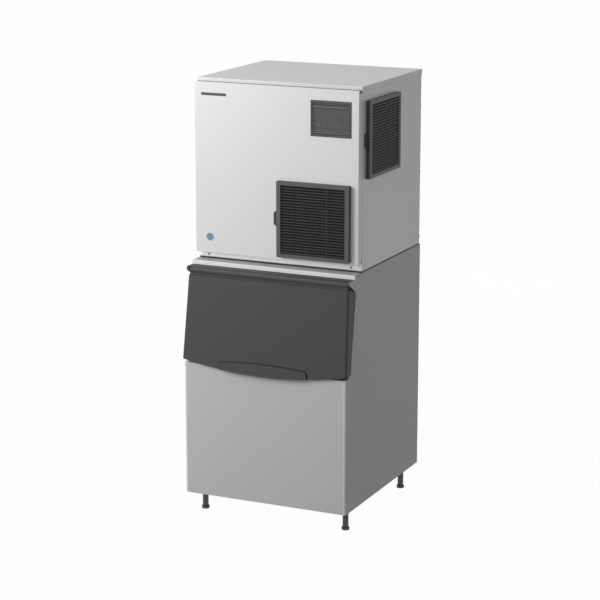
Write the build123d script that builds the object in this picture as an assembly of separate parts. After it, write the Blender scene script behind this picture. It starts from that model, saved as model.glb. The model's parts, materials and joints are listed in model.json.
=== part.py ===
from build123d import *
import math
import os

# Granular ice machine: an ice maker that stands on an insulated storage bin.
# Millimetres. X runs to the right, Y to the back, Z up.
# The origin is on the floor, below the middle of the bin's plan.

# Overall sizes
cabinet_width = 762.0
bin_depth = 815.0
bin_height = 1020.0
leg_height = 100.0
ice_maker_height = 780.0
seat_gasket_thickness = 3.0
seat_gasket_width = 20.0

# Sheet metal and small clearances
sheet = 1.2
seam = 0.3
running_clearance = 0.05
slide_clearance = 0.8

# Overshoots of cuts
cut_past = 1.0
cut_reach = 100.0

# Bin shell, seen from the side: setbacks are from the bin's front, heights from its base,
# rises from the mouth's sill, drops from the bin's top
mouth_sill_height = 588.0
slope_low_setback = 40.0
slope_low_rise = 9.0
slope_high_setback = 108.0
slope_high_drop = 77.0
nose_tip_setback = 33.0
nose_top_drop = 17.0
nose_front_height = 15.0
nose_top_radius = 7.0
nose_low_radius = 9.0
deck_lip_setback = 86.0
shell_corner_radius = 10.0
shell_flange = 12.0
floor_pan_thickness = 2.0

# Bin inside
side_insulation = 50.0
floor_insulation = 58.0
deck_insulation = 44.0
liner_wall = 3.0
liner_corner_radius = 35.0
trim_thickness = 8.0
mouth_side_margin = 13.0
mouth_low_margin = 4.0
mouth_high_margin = 2.0
gasket_width = 11.0

# Bin door
door_gap = 4.0
door_low_overhang = 5.0
door_top_inset = 6.0
door_low_rise = 17.0
door_top_drop = 55.0
door_low_reach = 9.0
door_top_setback = 35.0
door_sag = 38.0
door_wall = 4.0
door_edge_radius = 12.0
door_solid_rise = 30.0
door_panel_drop = 18.0
door_skirt_gap = 2.5
nose_gap = 6.0
roll_setback = 52.0
roll_drop = 33.0
roll_radius = 16.0
roll_end_gap = 0.6
roll_web_length = 26.0
neck_half_thickness = 12.0
hinge_pin_radius = 6.0
hinge_pin_depth = 30.0
hinge_pin_end_gap = 1.0
bush_length = 11.0
lip_side_inset = 178.0
lip_end_rise = 2.0
lip_rise = 11.0
lip_reach = 6.0
lip_corner_radius = 12.0
lip_groove_width = 4.0
lip_groove_depth = 4.0

# Legs
leg_side_inset = 44.0
leg_front_setback = 102.0
leg_back_inset = 91.0
leg_flange_radius = 21.0
leg_flange_thickness = 4.0
leg_shaft_radius = 13.0
leg_taper_length = 17.0
foot_radius = 17.5
foot_height = 14.0
foot_chamfer = 3.0
foot_stem_radius = 6.0
foot_stem_length = 62.0

# Ice maker casing: setbacks are from the bin's front, heights from the bin's top
body_setback = 152.0
panel_setback = 121.5
side_panel_setback = 160.0
side_back_inset = 10.0
top_back_inset = 3.0
front_panel_low = 32.5
front_panel_high = 766.5
front_panel_inset = 1.0
front_panel_hem = 9.0
panel_bend_radius = 3.0
top_front_flange = 15.0
top_side_flange = 24.0
casing_flange = 12.0
apron_height = 36.0
base_wall_height = 30.0
base_bend_radius = 8.0
post_width = 25.0
post_thickness = 2.0
exhaust_rows = 12
exhaust_slot_width = 110.0
exhaust_slot_height = 7.0
exhaust_slot_pitch = 20.0

# Air grilles: one moulding, used at the front and on the right side
grille_width = 334.0
grille_height = 326.0
grille_proud = 20.0
grille_opening_width = 295.0
grille_opening_height = 293.0
grille_corner_radius = 5.0
grille_side_inset = 203.0
grille_centre_height = 207.5
side_grille_setback = 358.0
side_grille_height = 554.0
slat_count = 24
slat_pitch = 12.0
slat_depth = 9.0
slat_rise = 5.5
slat_thickness = 2.0
slat_setback = 1.5
rib_offset = 65.0
rib_thickness = 3.0

# Air filters
filter_thickness = 7.4
filter_margin = 3.5
filter_bar = 4.0
filter_end_inset = 1.0
filter_cells = 5
tab_half_height = 31.0
tab_reach = 17.0
tab_chamfer = 7.0

# Control window, top right of the front
window_side_inset = 127.4
window_centre_height = 643.0
window_width = 183.5
window_height = 151.0
bezel_rim = 9.0
bezel_proud = 3.0
bezel_depth = 14.0
bezel_wall = 3.0
cover_thickness = 2.5
cover_gap = 0.8
cover_pin_radius = 2.0
cover_notch_offset = -22.0
cover_notch_width = 22.0
cover_notch_depth = 9.0
control_panel_thickness = 2.5
control_panel_depth = 9.0
switch_width = 20.0
switch_length = 27.0
switch_frame_wall = 3.0
switch_frame_depth = 15.0
switch_pocket_depth = 12.0
switch_rim = 1.0
rocker_rise = 3.5
rocker_dip = 1.3
rocker_keel = 2.0
switch_pin_radius = 1.5
switch_tilt = 10.0
switch_offset_x = 45.0

# Ice making column
column_side_inset = 156.0
column_back_inset = 297.5
gearbox_half_width = 80.0
gearbox_height = 70.0
gearbox_foot_height = 20.0
gearbox_foot_inset = 16.0
gearbox_foot_radius = 12.0
gearbox_corner = 20.0
motor_radius = 48.0
motor_length = 120.0
motor_overlap = 10.0
motor_rise = 10.0
housing_radius = 55.0
housing_height = 45.0
housing_flange = 10.0
evaporator_height = 260.0
evaporator_radius = 58.0
barrel_radius = 38.5
auger_gap = 0.4
auger_core_radius = 20.0
auger_shaft_radius = 12.0
auger_turns = 3.0
auger_end_gap = 2.0
flight_thickness = 9.0
head_height = 50.0
head_slot_count = 8
head_slot_width = 10.0
head_slot_depth = 14.0
head_slot_inset = 10.0
cutter_height = 40.0
cutter_radius = 52.0
cutter_gap = 1.0
cutter_hub_radius = 22.0
cutter_arm_count = 3
cutter_arm_root = 16.0
cutter_arm_width = 10.0

# Ice path
chute_width = 120.0
chute_depth = 110.0
chute_wall = 3.0
chute_setback = 257.5
chute_drop = 40.0
spout_height = 95.0
spout_corner = 45.0
hatch_margin = 8.0
flap_height = 90.0
flap_drop = 110.0
flap_thickness = 2.0
flap_pin_radius = 2.5
flap_pin_inset = 4.0

# Water side
reservoir_width = 100.0
reservoir_depth = 96.0
reservoir_height = 120.0
reservoir_wall = 3.0
reservoir_offset_x = 145.0
reservoir_low = 360.0
float_radius = 26.0
float_height = 30.0
float_rod_radius = 3.0
float_travel = 40.0
fitting_radius = 13.0
fitting_bore_radius = 8.0
fitting_reach = 20.0
fitting_inner_length = 20.0
fitting_flange_radius = 20.0
fitting_flange_thickness = 4.0
water_inlet_offset_x = 45.0
water_inlet_height = 60.0
machine_drain_offset_x = 165.0
machine_drain_height = 30.0
valve_body = 36.0
valve_corner = 6.0
valve_length = 40.0
valve_coil_radius = 16.0
valve_coil_height = 58.0
cable_gland_side_inset = 131.0
cable_gland_inner_length = 10.0
cable_gland_height = 60.0
cable_gland_radius = 11.0
cable_gland_bore_radius = 6.0

# Refrigeration
condenser_width = 300.0
condenser_height = 296.0
condenser_depth = 46.0
condenser_setback = 172.0
condenser_plate = 2.0
fin_pitch = 15.0
fin_groove = 9.0
fin_groove_depth = 12.0
shroud_depth = 40.0
shroud_wall = 2.0
fan_radius = 112.0
fan_gap = 5.0
fan_hub_radius = 24.0
fan_hub_front = 14.0
fan_hub_back = 10.0
fan_blade_count = 5
fan_blade_pitch = 28.0
fan_blade_root = 4.0
fan_blade_thickness = 2.0
fan_blade_chord = 52.0
fan_shaft_radius = 5.0
fan_shaft_front = 20.0
fan_shaft_back = 40.0
fan_motor_radius = 42.0
fan_motor_length = 70.0
fan_motor_gap = 15.0
fan_arm_count = 3
fan_arm_reach = 14.0
fan_arm_root = 8.0
fan_arm_width = 14.0
fan_arm_setback = 5.0
fan_arm_thickness = 4.0
fan_pad_inset = 4.0
compressor_side_inset = 196.0
compressor_back_inset = 192.5
compressor_radius = 86.0
compressor_height = 240.0
compressor_mount_height = 22.0
compressor_foot_offset = 75.0
compressor_mount_radius = 13.0
compressor_plate_margin = 20.0
compressor_plate_corner = 15.0
compressor_plate_thickness = 3.0
terminal_depth = 24.0
terminal_width = 50.0
terminal_height = 60.0
terminal_rise = 90.0

# Refrigerant pipes and drier
pipe_radius = 5.0
pipe_bend_radius = 18.0
pipe_front_run = 27.0
pipe_side_run = 25.2
pipe_low_z = 1200.0
pipe_middle_z = 1290.0
pipe_high_z = 1480.0
drier_gap = 22.0
drier_setback = 307.5
drier_neck = 1.0
drier_length = 90.0
drier_radius = 14.0

# Control box
control_box_width = 250.0
control_box_depth = 120.0
control_box_height = 200.0

# Bin drain
bin_drain_setback_from_back = 130.0
bin_drain_drop = 30.0
bin_drain_spigot_radius = 11.0

# Screws
screw_radius = 4.5
screw_height = 1.6
apron_screw_inset = 47.0
apron_screw_rise = 8.0
side_screw_inset = 6.0
side_screw_count = 3
side_screw_low = 38.0
side_screw_pitch = 291.0

# Worked-out places
half_width = cabinet_width / 2
bin_front = -bin_depth / 2
bin_back = bin_depth / 2
bin_base = leg_height
bin_top = leg_height + bin_height
maker_base = bin_top + seat_gasket_thickness
maker_top = bin_top + ice_maker_height
body_front = bin_front + body_setback
panel_front = bin_front + panel_setback
side_front = bin_front + side_panel_setback
side_back = bin_back - side_back_inset
side_top = maker_top - top_side_flange - seam
lip_y = bin_front + deck_lip_setback
roll_y = bin_front + roll_setback
roll_z = bin_top - roll_drop
nose_tip_y = bin_front + nose_tip_setback
nose_top_z = bin_top - nose_top_drop
nose_low_height = bin_height - nose_top_drop - nose_front_height
slope_low_height = mouth_sill_height + slope_low_rise
slope_high_height = bin_height - slope_high_drop
mouth_half_width = half_width - side_insulation - mouth_side_margin
mouth_low_height = mouth_sill_height + gasket_width + mouth_low_margin
mouth_high_height = slope_high_height - gasket_width - mouth_high_margin
door_low_half_width = half_width + door_low_overhang
door_top_half_width = half_width - door_top_inset
door_low_height = mouth_sill_height + door_low_rise
door_top_height = bin_height - door_top_drop
door_solid_height = door_low_height + door_solid_rise
lip_half_width = half_width - lip_side_inset
lip_end_height = door_low_height + lip_end_rise
pan_top = bin_base + sheet + floor_pan_thickness
grille_centre_x = half_width - grille_side_inset
window_centre_x = half_width - window_side_inset
column_x = column_side_inset - half_width
column_y = bin_back - column_back_inset
chute_centre_y = bin_front + chute_setback
compressor_x = half_width - compressor_side_inset
compressor_y = bin_back - compressor_back_inset
reservoir_centre_x = column_x + reservoir_offset_x
water_inlet_x = column_x + water_inlet_offset_x
machine_drain_x = column_x + machine_drain_offset_x
cable_gland_x = half_width - cable_gland_side_inset
drier_x = grille_centre_x - condenser_width / 2 - condenser_plate - drier_gap - drier_radius
drier_front_y = bin_front + drier_setback
far = 2000.0


def block(x, y, z):
    """A box between a low and a high value along each axis."""
    middle = (sum(x) / 2, sum(y) / 2, sum(z) / 2)
    return Pos(*middle) * Box(x[1] - x[0], y[1] - y[0], z[1] - z[0])


def both_ways(value):
    """A low and a high value, the same distance each side of zero."""
    return (-value, value)


def side_prism(outline, x_low, x_high):
    """A side-view sketch, drawn in Y and Z, made solid along X."""
    return extrude(Plane.YZ.offset(x_low) * outline, amount=x_high - x_low, dir=(1, 0, 0))


def front_prism(outline, y_low, y_high):
    """A front-view sketch, drawn in X and Z, made solid along Y."""
    return extrude(Plane.XZ.offset(-y_low) * outline, amount=y_high - y_low, dir=(0, 1, 0))


def plan_prism(outline, z_low, z_high):
    """A plan sketch, drawn in X and Y, made solid along Z."""
    return extrude(Plane.XY.offset(z_low) * outline, amount=z_high - z_low, dir=(0, 0, 1))


def polygon(*points):
    """A sketch through points that keep their own places."""
    return Polygon(*points, align=None)


def slope_y(height):
    """The bin's sloping front edge: its place at a height above the bin's base."""
    share = (height - slope_low_height) / (slope_high_height - slope_low_height)
    setback = slope_low_setback + share * (slope_high_setback - slope_low_setback)
    return bin_front + setback


def slope_point(height, offset=0.0):
    """A point on the sloping front edge, moved back by an offset."""
    return (slope_y(height) + offset, bin_base + height)


def slope_line(offset=0.0):
    """Two points on the sloping front edge, moved back by an offset."""
    return slope_point(slope_low_height, offset), slope_point(slope_high_height, offset)


def nose_line(drop=0.0):
    """Two points on the underside of the hinge nose, moved down by a drop."""
    root_y, root_z = slope_point(slope_high_height)
    return (nose_tip_y, bin_base + nose_low_height - drop), (root_y, root_z - drop)


def level_line(height):
    """Two points on a level line in the side view."""
    return (0, height), (1, height)


def upright_line(y):
    """Two points on an upright line in the side view."""
    return (y, 0), (y, 1)


def crossing(first, second):
    """Where two lines in the side view cross, each given by two of its points."""
    (ay, az), (by, bz) = first
    (cy, cz), (dy, dz) = second
    spread = (by - ay) * (dz - cz) - (bz - az) * (dy - cy)
    share = ((cy - ay) * (dz - cz) - (cz - az) * (dy - cy)) / spread
    return (ay + share * (by - ay), az + share * (bz - az))


def shell_outline():
    """The bin's side view: upright front, sloping mouth, rounded hinge nose, deck."""
    top = bin_top - sheet
    back = bin_back - sheet
    outline = polygon(
        (bin_front, bin_base),
        (bin_front, bin_base + mouth_sill_height),
        slope_point(mouth_sill_height),
        slope_point(slope_high_height),
        (nose_tip_y, bin_base + nose_low_height),
        (nose_tip_y, nose_top_z),
        (lip_y + sheet, nose_top_z),
        (lip_y + sheet, top),
        (back, top),
        (back, bin_base),
    )
    tip = [v for v in outline.vertices() if abs(v.X - nose_tip_y) < seam]
    tip.sort(key=lambda v: v.Y)
    outline = fillet([tip[1]], nose_top_radius)
    low = min(outline.vertices(), key=lambda v: math.dist((v.X, v.Y), (tip[0].X, tip[0].Y)))
    return fillet([low], nose_low_radius)


def bin_plan(inset):
    """The bin's plan with its rounded front corners, drawn in by an inset."""
    back = bin_back - sheet - inset
    side = half_width - inset
    front = bin_front + inset
    plan = polygon((-side, front), (side, front), (side, back), (-side, back))
    corners = [v for v in plan.vertices() if v.Y < 0]
    return fillet(corners, shell_corner_radius - inset)


def hatch(z_low, z_high, margin=hatch_margin):
    """The opening that the ice chute drops through."""
    half_x = chute_width / 2 + margin
    half_y = chute_depth / 2 + margin
    return block(
        (column_x - half_x, column_x + half_x),
        (chute_centre_y - half_y, chute_centre_y + half_y),
        (z_low, z_high),
    )


def mouth():
    """The space of the bin's mouth, through everything behind the door."""
    return block(
        both_ways(mouth_half_width),
        (bin_front - side_insulation, bin_front + 3 * side_insulation),
        (bin_base + mouth_low_height, bin_base + mouth_high_height),
    )


# Storage bin


def bin_shell():
    """Front and both sides folded from one sheet, with narrow returns at every open edge."""
    outline = shell_outline()
    outer = plan_prism(bin_plan(0), bin_base, bin_top) & side_prism(outline, -half_width, half_width)
    inner_outline = offset(outline, amount=-sheet, kind=Kind.INTERSECTION)
    inner = plan_prism(bin_plan(sheet), bin_base, bin_top)
    inner &= side_prism(inner_outline, -half_width, half_width)
    middle = block(
        both_ways(half_width - shell_flange),
        (bin_front + shell_flange, bin_back),
        (bin_base - sheet, bin_top + sheet),
    )
    noses = block(
        both_ways(half_width - sheet),
        (nose_tip_y - shell_flange, lip_y),
        (bin_base + slope_high_height + seam, bin_top),
    )
    return outer - inner - middle - noses


def bin_back_panel():
    """Flat sheet that closes the back of the bin."""
    return block(both_ways(half_width), (bin_back - sheet, bin_back), (bin_base, bin_top - sheet))


def bin_floor_pan():
    """Stiff plate above the bottom returns, which the legs bolt to."""
    low = bin_base + sheet
    pan = plan_prism(bin_plan(sheet), low, pan_top)
    return pan - bin_drain_hole(low, pan_top)


def bin_deck():
    """Top of the bin with a lip folded down at its front."""
    top = block(both_ways(half_width), (lip_y, bin_back), (bin_top - sheet, bin_top))
    lip = block(both_ways(half_width), (lip_y, lip_y + sheet), (nose_top_z + seam, bin_top))
    deck = top + lip
    edge = deck.edges().filter_by(Axis.X).group_by(Axis.Z)[-1].sort_by(Axis.Y)[0]
    deck = fillet(edge, sheet)
    return deck - hatch(bin_top - 2 * sheet, bin_top + sheet)


def trim_outline(offset_back=0.0):
    """Front edge of the mouth trim, from the sill to the deck, as points."""
    header_y = bin_front + deck_lip_setback + door_gap
    return [
        slope_point(mouth_sill_height, offset_back),
        slope_point(slope_high_height, offset_back),
        crossing(nose_line(-offset_back / 2), upright_line(header_y + offset_back)),
        (header_y + offset_back, bin_top - 2 * sheet),
    ]


def mouth_trim():
    """Moulded frame round the bin's mouth, with the header behind the door's hinge roll."""
    points = trim_outline() + trim_outline(trim_thickness)[::-1]
    trim = side_prism(polygon(*points), -(half_width - shell_flange), half_width - shell_flange)
    return trim - mouth()


def door_gasket():
    """Soft ring round the mouth that the door closes on."""
    gap = door_gap - 2 * seam
    low = mouth_low_height - gasket_width
    high = mouth_high_height + gasket_width
    band = polygon(
        slope_point(low, -gap), slope_point(low), slope_point(high), slope_point(high, -gap)
    )
    ring = side_prism(band, -(mouth_half_width + gasket_width), mouth_half_width + gasket_width)
    return ring - mouth()


def liner_outline():
    """The tub's side view, with its rounded bottom corners."""
    front = bin_front + side_insulation
    low = bin_base + floor_insulation
    behind_trim = slope_point(slope_high_height, trim_thickness)
    top = bin_top - deck_insulation
    back = bin_back - side_insulation
    outline = polygon(
        (front, low),
        crossing(upright_line(front), slope_line(trim_thickness)),
        behind_trim,
        (behind_trim[0] + liner_corner_radius, top),
        (back, top),
        (back, low),
    )
    corners = [v for v in outline.vertices() if abs(v.Y - low) < seam]
    return fillet(corners, liner_corner_radius)


def bin_liner():
    """Moulded tub that holds the ice, open at the mouth and at the chute's hatch."""
    outline = liner_outline()
    inner = offset(outline, amount=-liner_wall, kind=Kind.INTERSECTION)
    half = half_width - side_insulation
    tub = side_prism(outline, -half, half) - side_prism(inner, -half + liner_wall, half - liner_wall)
    tub -= mouth()
    tub -= hatch(bin_top - deck_insulation - cut_reach, bin_top, margin=hatch_margin + liner_wall)
    return tub - bin_drain_hole(bin_base, bin_base + floor_insulation + liner_wall)


def bin_insulation():
    """Foam that fills the walls between the shell and the liner."""
    points = [
        (bin_front + sheet, pan_top),
        (bin_front + sheet, bin_base + mouth_sill_height - sheet),
        (slope_y(mouth_sill_height) + trim_thickness, bin_base + mouth_sill_height - sheet),
    ]
    points += trim_outline(trim_thickness)
    points += [(bin_back - 2 * sheet, bin_top - 2 * sheet), (bin_back - 2 * sheet, pan_top)]
    foam = side_prism(polygon(*points), -(half_width - sheet), half_width - sheet)
    foam &= plan_prism(bin_plan(sheet), bin_base, bin_top)
    half = half_width - side_insulation
    foam -= side_prism(liner_outline(), -half, half)
    foam -= mouth()
    foam -= hatch(bin_top - 2 * deck_insulation, bin_top)
    return foam - bin_drain_hole(bin_base, bin_base + floor_insulation + liner_wall)


def bin_drain_place():
    """Where the bin's drain comes down, near the back."""
    return Pos(0, bin_back - bin_drain_setback_from_back)


def bin_drain_hole(z_low, z_high):
    """The hole that the bin's drain passes through."""
    return plan_prism(bin_drain_place() * Circle(fitting_radius), z_low, z_high)


def bin_drain():
    """Drain tube with a flange on the tub's floor, ending in a hose spigot below the bin."""
    floor = bin_base + floor_insulation + liner_wall
    place = bin_drain_place()
    shoulder = bin_base - floor_pan_thickness
    tube = plan_prism(place * Circle(fitting_radius), shoulder, floor)
    tube += plan_prism(place * Circle(bin_drain_spigot_radius), bin_base - bin_drain_drop, shoulder)
    flange = plan_prism(place * Circle(fitting_flange_radius), floor, floor + fitting_flange_thickness)
    bore = plan_prism(place * Circle(fitting_bore_radius), 0, bin_top)
    return tube + flange - bore


# Hinge and door


def hinge_bushes():
    """Dark plastic fillings of both hinge noses, bored for the pins."""
    tongue = shell_outline() & polygon(
        (bin_front, bin_base + slope_high_height + seam),
        (lip_y, bin_base + slope_high_height + seam),
        (lip_y, bin_top),
        (bin_front, bin_top),
    )
    outer = half_width - sheet
    right = side_prism(tongue, outer - bush_length, outer)
    pin_hole = side_prism(Pos(roll_y, roll_z) * Circle(hinge_pin_radius), 0, half_width)
    right -= pin_hole
    return Compound([right, mirror(right, Plane.YZ)])


def hinge_pins():
    """The pins that the door's roll turns on."""
    outer = half_width - sheet
    inner = outer - bush_length - hinge_pin_depth
    right = side_prism(Pos(roll_y, roll_z) * Circle(hinge_pin_radius), inner, outer)
    return Compound([right, mirror(right, Plane.YZ)])


def door_face_y(height):
    """The door's front face: its place at a height above the bin's base."""
    share = (height - door_low_height) / (door_top_height - door_low_height)
    return bin_front - door_low_reach + share * (door_top_setback + door_low_reach)


def door_face_point(height, offset_back=0.0):
    """A point on the door's face, moved back by an offset."""
    return (door_face_y(height) + offset_back, bin_base + height)


def door_front_outline(inset=0.0, low_height=None):
    """The door seen from the front: sides that spread downwards and a sagging lower edge."""
    taper = (door_low_half_width - door_top_half_width) / (door_top_height - door_low_height)
    top_z = bin_base + door_top_height + nose_gap
    low = door_low_height if low_height is None else low_height
    low_z = bin_base + low
    low_half = door_low_half_width - inset - taper * (low - door_low_height)
    top_half = door_top_half_width - inset - taper * nose_gap
    sides = Polyline((-low_half, low_z), (-top_half, top_z), (top_half, top_z), (low_half, low_z))
    if low_height is None:
        lower = ThreePointArc((low_half, low_z), (0, low_z - door_sag), (-low_half, low_z))
    else:
        lower = Line((low_half, low_z), (-low_half, low_z))
    return make_face([*sides.edges(), *lower.edges()])


def door_body_outline():
    """The door's side view: a wedge that follows the sloping mouth, with a thin skirt below."""
    underside = nose_line(nose_gap)
    skirt_y = bin_front - door_skirt_gap
    skirt_z = bin_base + mouth_sill_height + door_gap
    low = door_low_height - door_sag - door_wall
    return polygon(
        door_face_point(low),
        door_face_point(door_top_height),
        crossing(underside, level_line(bin_base + door_top_height)),
        crossing(underside, slope_line(-door_gap)),
        crossing(slope_line(-door_gap), level_line(skirt_z)),
        (skirt_y, skirt_z),
        (skirt_y, bin_base + low),
    )


def door_hollow_outline():
    """The hollow inside the door, open to its back."""
    underside = nose_line(nose_gap + door_wall)
    behind = slope_line(door_gap)
    return polygon(
        door_face_point(door_solid_height, door_wall),
        door_face_point(door_top_height - door_wall, door_wall),
        crossing(underside, level_line(bin_base + door_top_height - door_wall)),
        crossing(underside, behind),
        crossing(behind, level_line(bin_base + door_solid_height)),
    )


def pull_lip_outline(grow=0.0):
    """The raised pull lip seen from the front: arched top, rounded corners."""
    half = lip_half_width + grow
    end_z = bin_base + lip_end_height + grow
    low_z = bin_base + door_low_height - 2 * door_sag
    sides = Polyline((-half, end_z), (-half, low_z), (half, low_z), (half, end_z))
    arch = ThreePointArc((half, end_z), (0, end_z + lip_rise), (-half, end_z))
    outline = make_face([*sides.edges(), *arch.edges()])
    corners = outline.vertices().group_by(Axis.Y)[-1]
    return fillet(corners, lip_corner_radius)


def face_slab(front_offset, back_offset):
    """A slab along the door's face, between two offsets from it."""
    low = door_low_height - 2 * door_sag
    high = lip_end_height + 3 * lip_rise
    slab = polygon(
        door_face_point(low, front_offset),
        door_face_point(high, front_offset),
        door_face_point(high, back_offset),
        door_face_point(low, back_offset),
    )
    return side_prism(slab, -far, far)


def bin_door():
    """Moulded door: a hollow wedge, a pull lip, and a hinge roll along its top."""
    outline = front_prism(door_front_outline(), -far, far)
    body = side_prism(door_body_outline(), -far, far) & outline
    face = body.faces().sort_by(lambda f: f.normal_at().Y)[0]
    side_edges = face.edges().sort_by(lambda e: abs(e.center().X))[-2:]
    body = fillet(side_edges, door_edge_radius)
    hollow = side_prism(door_hollow_outline(), -far, far)
    hollow &= front_prism(door_front_outline(door_wall, door_solid_height), -far, far)
    body -= hollow
    groove = front_prism(pull_lip_outline(lip_groove_width), -far, far)
    groove -= front_prism(pull_lip_outline(), -far, far)
    body -= groove & face_slab(-lip_reach, lip_groove_depth)
    body += front_prism(pull_lip_outline(), -far, far) & face_slab(-lip_reach, seam) & outline
    half = half_width - sheet - bush_length - roll_end_gap
    roll = side_prism(Pos(roll_y, roll_z) * Circle(roll_radius), -half, half)
    front_y = roll_y - neck_half_thickness
    rear_y = roll_y + neck_half_thickness
    top_z = roll_z + roll_radius
    neck_low = bin_base + door_top_height - door_wall
    neck = polygon((front_y, neck_low), (front_y, roll_z), (rear_y, roll_z), (rear_y, neck_low))
    web = polygon(
        (roll_y, top_z),
        (roll_y + roll_web_length, top_z),
        (roll_y + roll_web_length, top_z - door_wall),
        (rear_y, roll_z),
        (roll_y, roll_z),
    )
    body += roll + side_prism(neck, -half, half) + side_prism(web, -half, half)
    bore = side_prism(
        Pos(roll_y, roll_z) * Circle(hinge_pin_radius + running_clearance),
        half_width - sheet - bush_length - hinge_pin_depth - hinge_pin_end_gap,
        half_width,
    )
    return body - bore - mirror(bore, Plane.YZ)


def door_inner_panel():
    """Flat panel that closes the back of the hollow door."""
    low = door_solid_height + seam
    high = slope_high_height - door_panel_drop
    band = polygon(
        slope_point(low, -door_gap - door_wall),
        slope_point(low, -door_gap),
        slope_point(high, -door_gap),
        slope_point(high, -door_gap - door_wall),
    )
    return side_prism(band, -far, far) & front_prism(door_front_outline(door_wall + seam, low), -far, far)


# Legs and feet


def leg_places():
    """Plan places of the four legs, by name."""
    side = half_width - leg_side_inset
    front = bin_front + leg_front_setback
    back = bin_back - leg_back_inset
    return {
        "front_left": (-side, front),
        "front_right": (side, front),
        "back_left": (-side, back),
        "back_right": (side, back),
    }


def leg():
    """One leg body: flange, taper and shaft, bored for the foot's stem."""
    top = bin_base + sheet
    low = foot_height + 2 * seam
    bore = foot_stem_radius + running_clearance
    bore_top = foot_height + foot_stem_length + 3 * seam
    half_outline = polygon(
        (0, top),
        (leg_flange_radius, top),
        (leg_flange_radius, top - leg_flange_thickness),
        (leg_shaft_radius, top - leg_taper_length),
        (leg_shaft_radius, low),
        (bore, low),
        (bore, bore_top),
        (0, bore_top),
    )
    return revolve(Plane.XZ * half_outline, Axis.Z)


def foot():
    """One levelling foot: pad and stem."""
    half_outline = polygon(
        (0, 0),
        (foot_radius - foot_chamfer / 2, 0),
        (foot_radius, foot_chamfer),
        (foot_radius, foot_height - foot_chamfer),
        (foot_radius - foot_chamfer, foot_height),
        (foot_stem_radius, foot_height),
        (foot_stem_radius, foot_height + foot_stem_length),
        (0, foot_height + foot_stem_length),
    )
    return revolve(Plane.XZ * half_outline, Axis.Z)


# Ice maker casing


def seat_gasket():
    """Dark strip between the bin's deck and the ice maker."""
    inset = 2 * sheet
    inner_inset = inset + seat_gasket_width
    outer = block(
        both_ways(half_width - inset), (body_front + inset, side_back - inset), (bin_top, maker_base)
    )
    inner = block(
        both_ways(half_width - inner_inset),
        (body_front + inner_inset, side_back - inner_inset),
        (bin_top - sheet, maker_base + sheet),
    )
    return outer - inner


def maker_base_pan():
    """Base tray with the apron that shows below the front panel."""
    side = half_width - sheet - seam
    outer = block(both_ways(side), (body_front, side_back), (maker_base, maker_base + apron_height))
    bottom_front = outer.edges().filter_by(Axis.X).sort_by(lambda e: e.center().Y + e.center().Z)[0]
    outer = fillet(bottom_front, base_bend_radius)
    inner = block(
        both_ways(side - sheet),
        (body_front + sheet, side_back - sheet),
        (maker_base + sheet, maker_base + 2 * apron_height),
    )
    bottom_front = inner.edges().filter_by(Axis.X).sort_by(lambda e: e.center().Y + e.center().Z)[0]
    inner = fillet(bottom_front, base_bend_radius - sheet)
    low_walls = block(
        both_ways(half_width),
        (body_front + casing_flange, side_back + cut_past),
        (maker_base + base_wall_height, maker_base + 2 * apron_height),
    )
    drain = rear_hole(machine_drain_x, machine_drain_height, fitting_radius)
    return outer - inner - low_walls - hatch(maker_base - sheet, maker_base + 2 * sheet) - drain


def casing_frame():
    """Welded frame of angle posts and top rails that carries the panels."""
    low = maker_base + sheet
    high = side_top - sheet
    x = half_width - casing_flange - seam
    y_front = side_front + sheet + seam
    y_back = side_back - sheet - seam
    outer = block(both_ways(x), (y_front, y_back), (low, high))
    hollow = block(
        both_ways(x - post_thickness),
        (y_front + post_thickness, y_back - post_thickness),
        (low - cut_past, high - post_thickness),
    )
    between_y = (y_front + post_width, y_back - post_width)
    between_z = (low - cut_past, high - post_width)
    front_and_back = block(both_ways(x - post_width), (-far, far), between_z)
    sides = block((-far, far), between_y, between_z)
    top_hole = block(both_ways(x - post_width), between_y, (low, high + cut_past))
    return outer - hollow - front_and_back - sides - top_hole


def side_panel():
    """Right side panel, without its grille opening: skin and three narrow returns."""
    skin_x = half_width - sheet
    outer = block((half_width - casing_flange, half_width), (side_front, side_back), (maker_base, side_top))
    inner = block(
        (half_width - 2 * casing_flange, skin_x),
        (side_front + sheet, side_back - sheet),
        (maker_base - sheet, side_top - sheet),
    )
    lower_edge = block(
        (half_width - 2 * casing_flange, skin_x),
        (-far, far),
        (maker_base - sheet, maker_base + apron_height + sheet),
    )
    return outer - inner - lower_edge


def right_side_panel():
    """Right side panel with the side grille's air opening."""
    return side_panel() - side_grille_place() * grille_opening()


def left_side_panel():
    """Left side panel, plain."""
    return mirror(side_panel(), Plane.YZ)


def rear_hole(x, height, radius):
    """A round hole through the rear panel."""
    place = Pos(x, maker_base + height)
    return front_prism(place * Circle(radius), side_back - 2 * sheet, side_back + 2 * sheet)


def rear_panel():
    """Rear panel with rows of exhaust slots and holes for the services."""
    panel = block(
        both_ways(half_width - 2 * sheet), (side_back, side_back + sheet), (maker_base, side_top)
    )
    spread = (exhaust_slot_width + exhaust_slot_pitch) / 2
    for x in (grille_centre_x - spread, grille_centre_x + spread):
        for row in range(exhaust_rows):
            z = maker_base + window_centre_height - row * exhaust_slot_pitch
            slot = Pos(x, z) * Rectangle(exhaust_slot_width, exhaust_slot_height)
            panel -= front_prism(slot, side_back - cut_past, side_back + 2 * sheet)
    panel -= rear_hole(water_inlet_x, water_inlet_height, fitting_radius)
    panel -= rear_hole(machine_drain_x, machine_drain_height, fitting_radius)
    return panel - rear_hole(cable_gland_x, cable_gland_height, cable_gland_radius)


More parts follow.
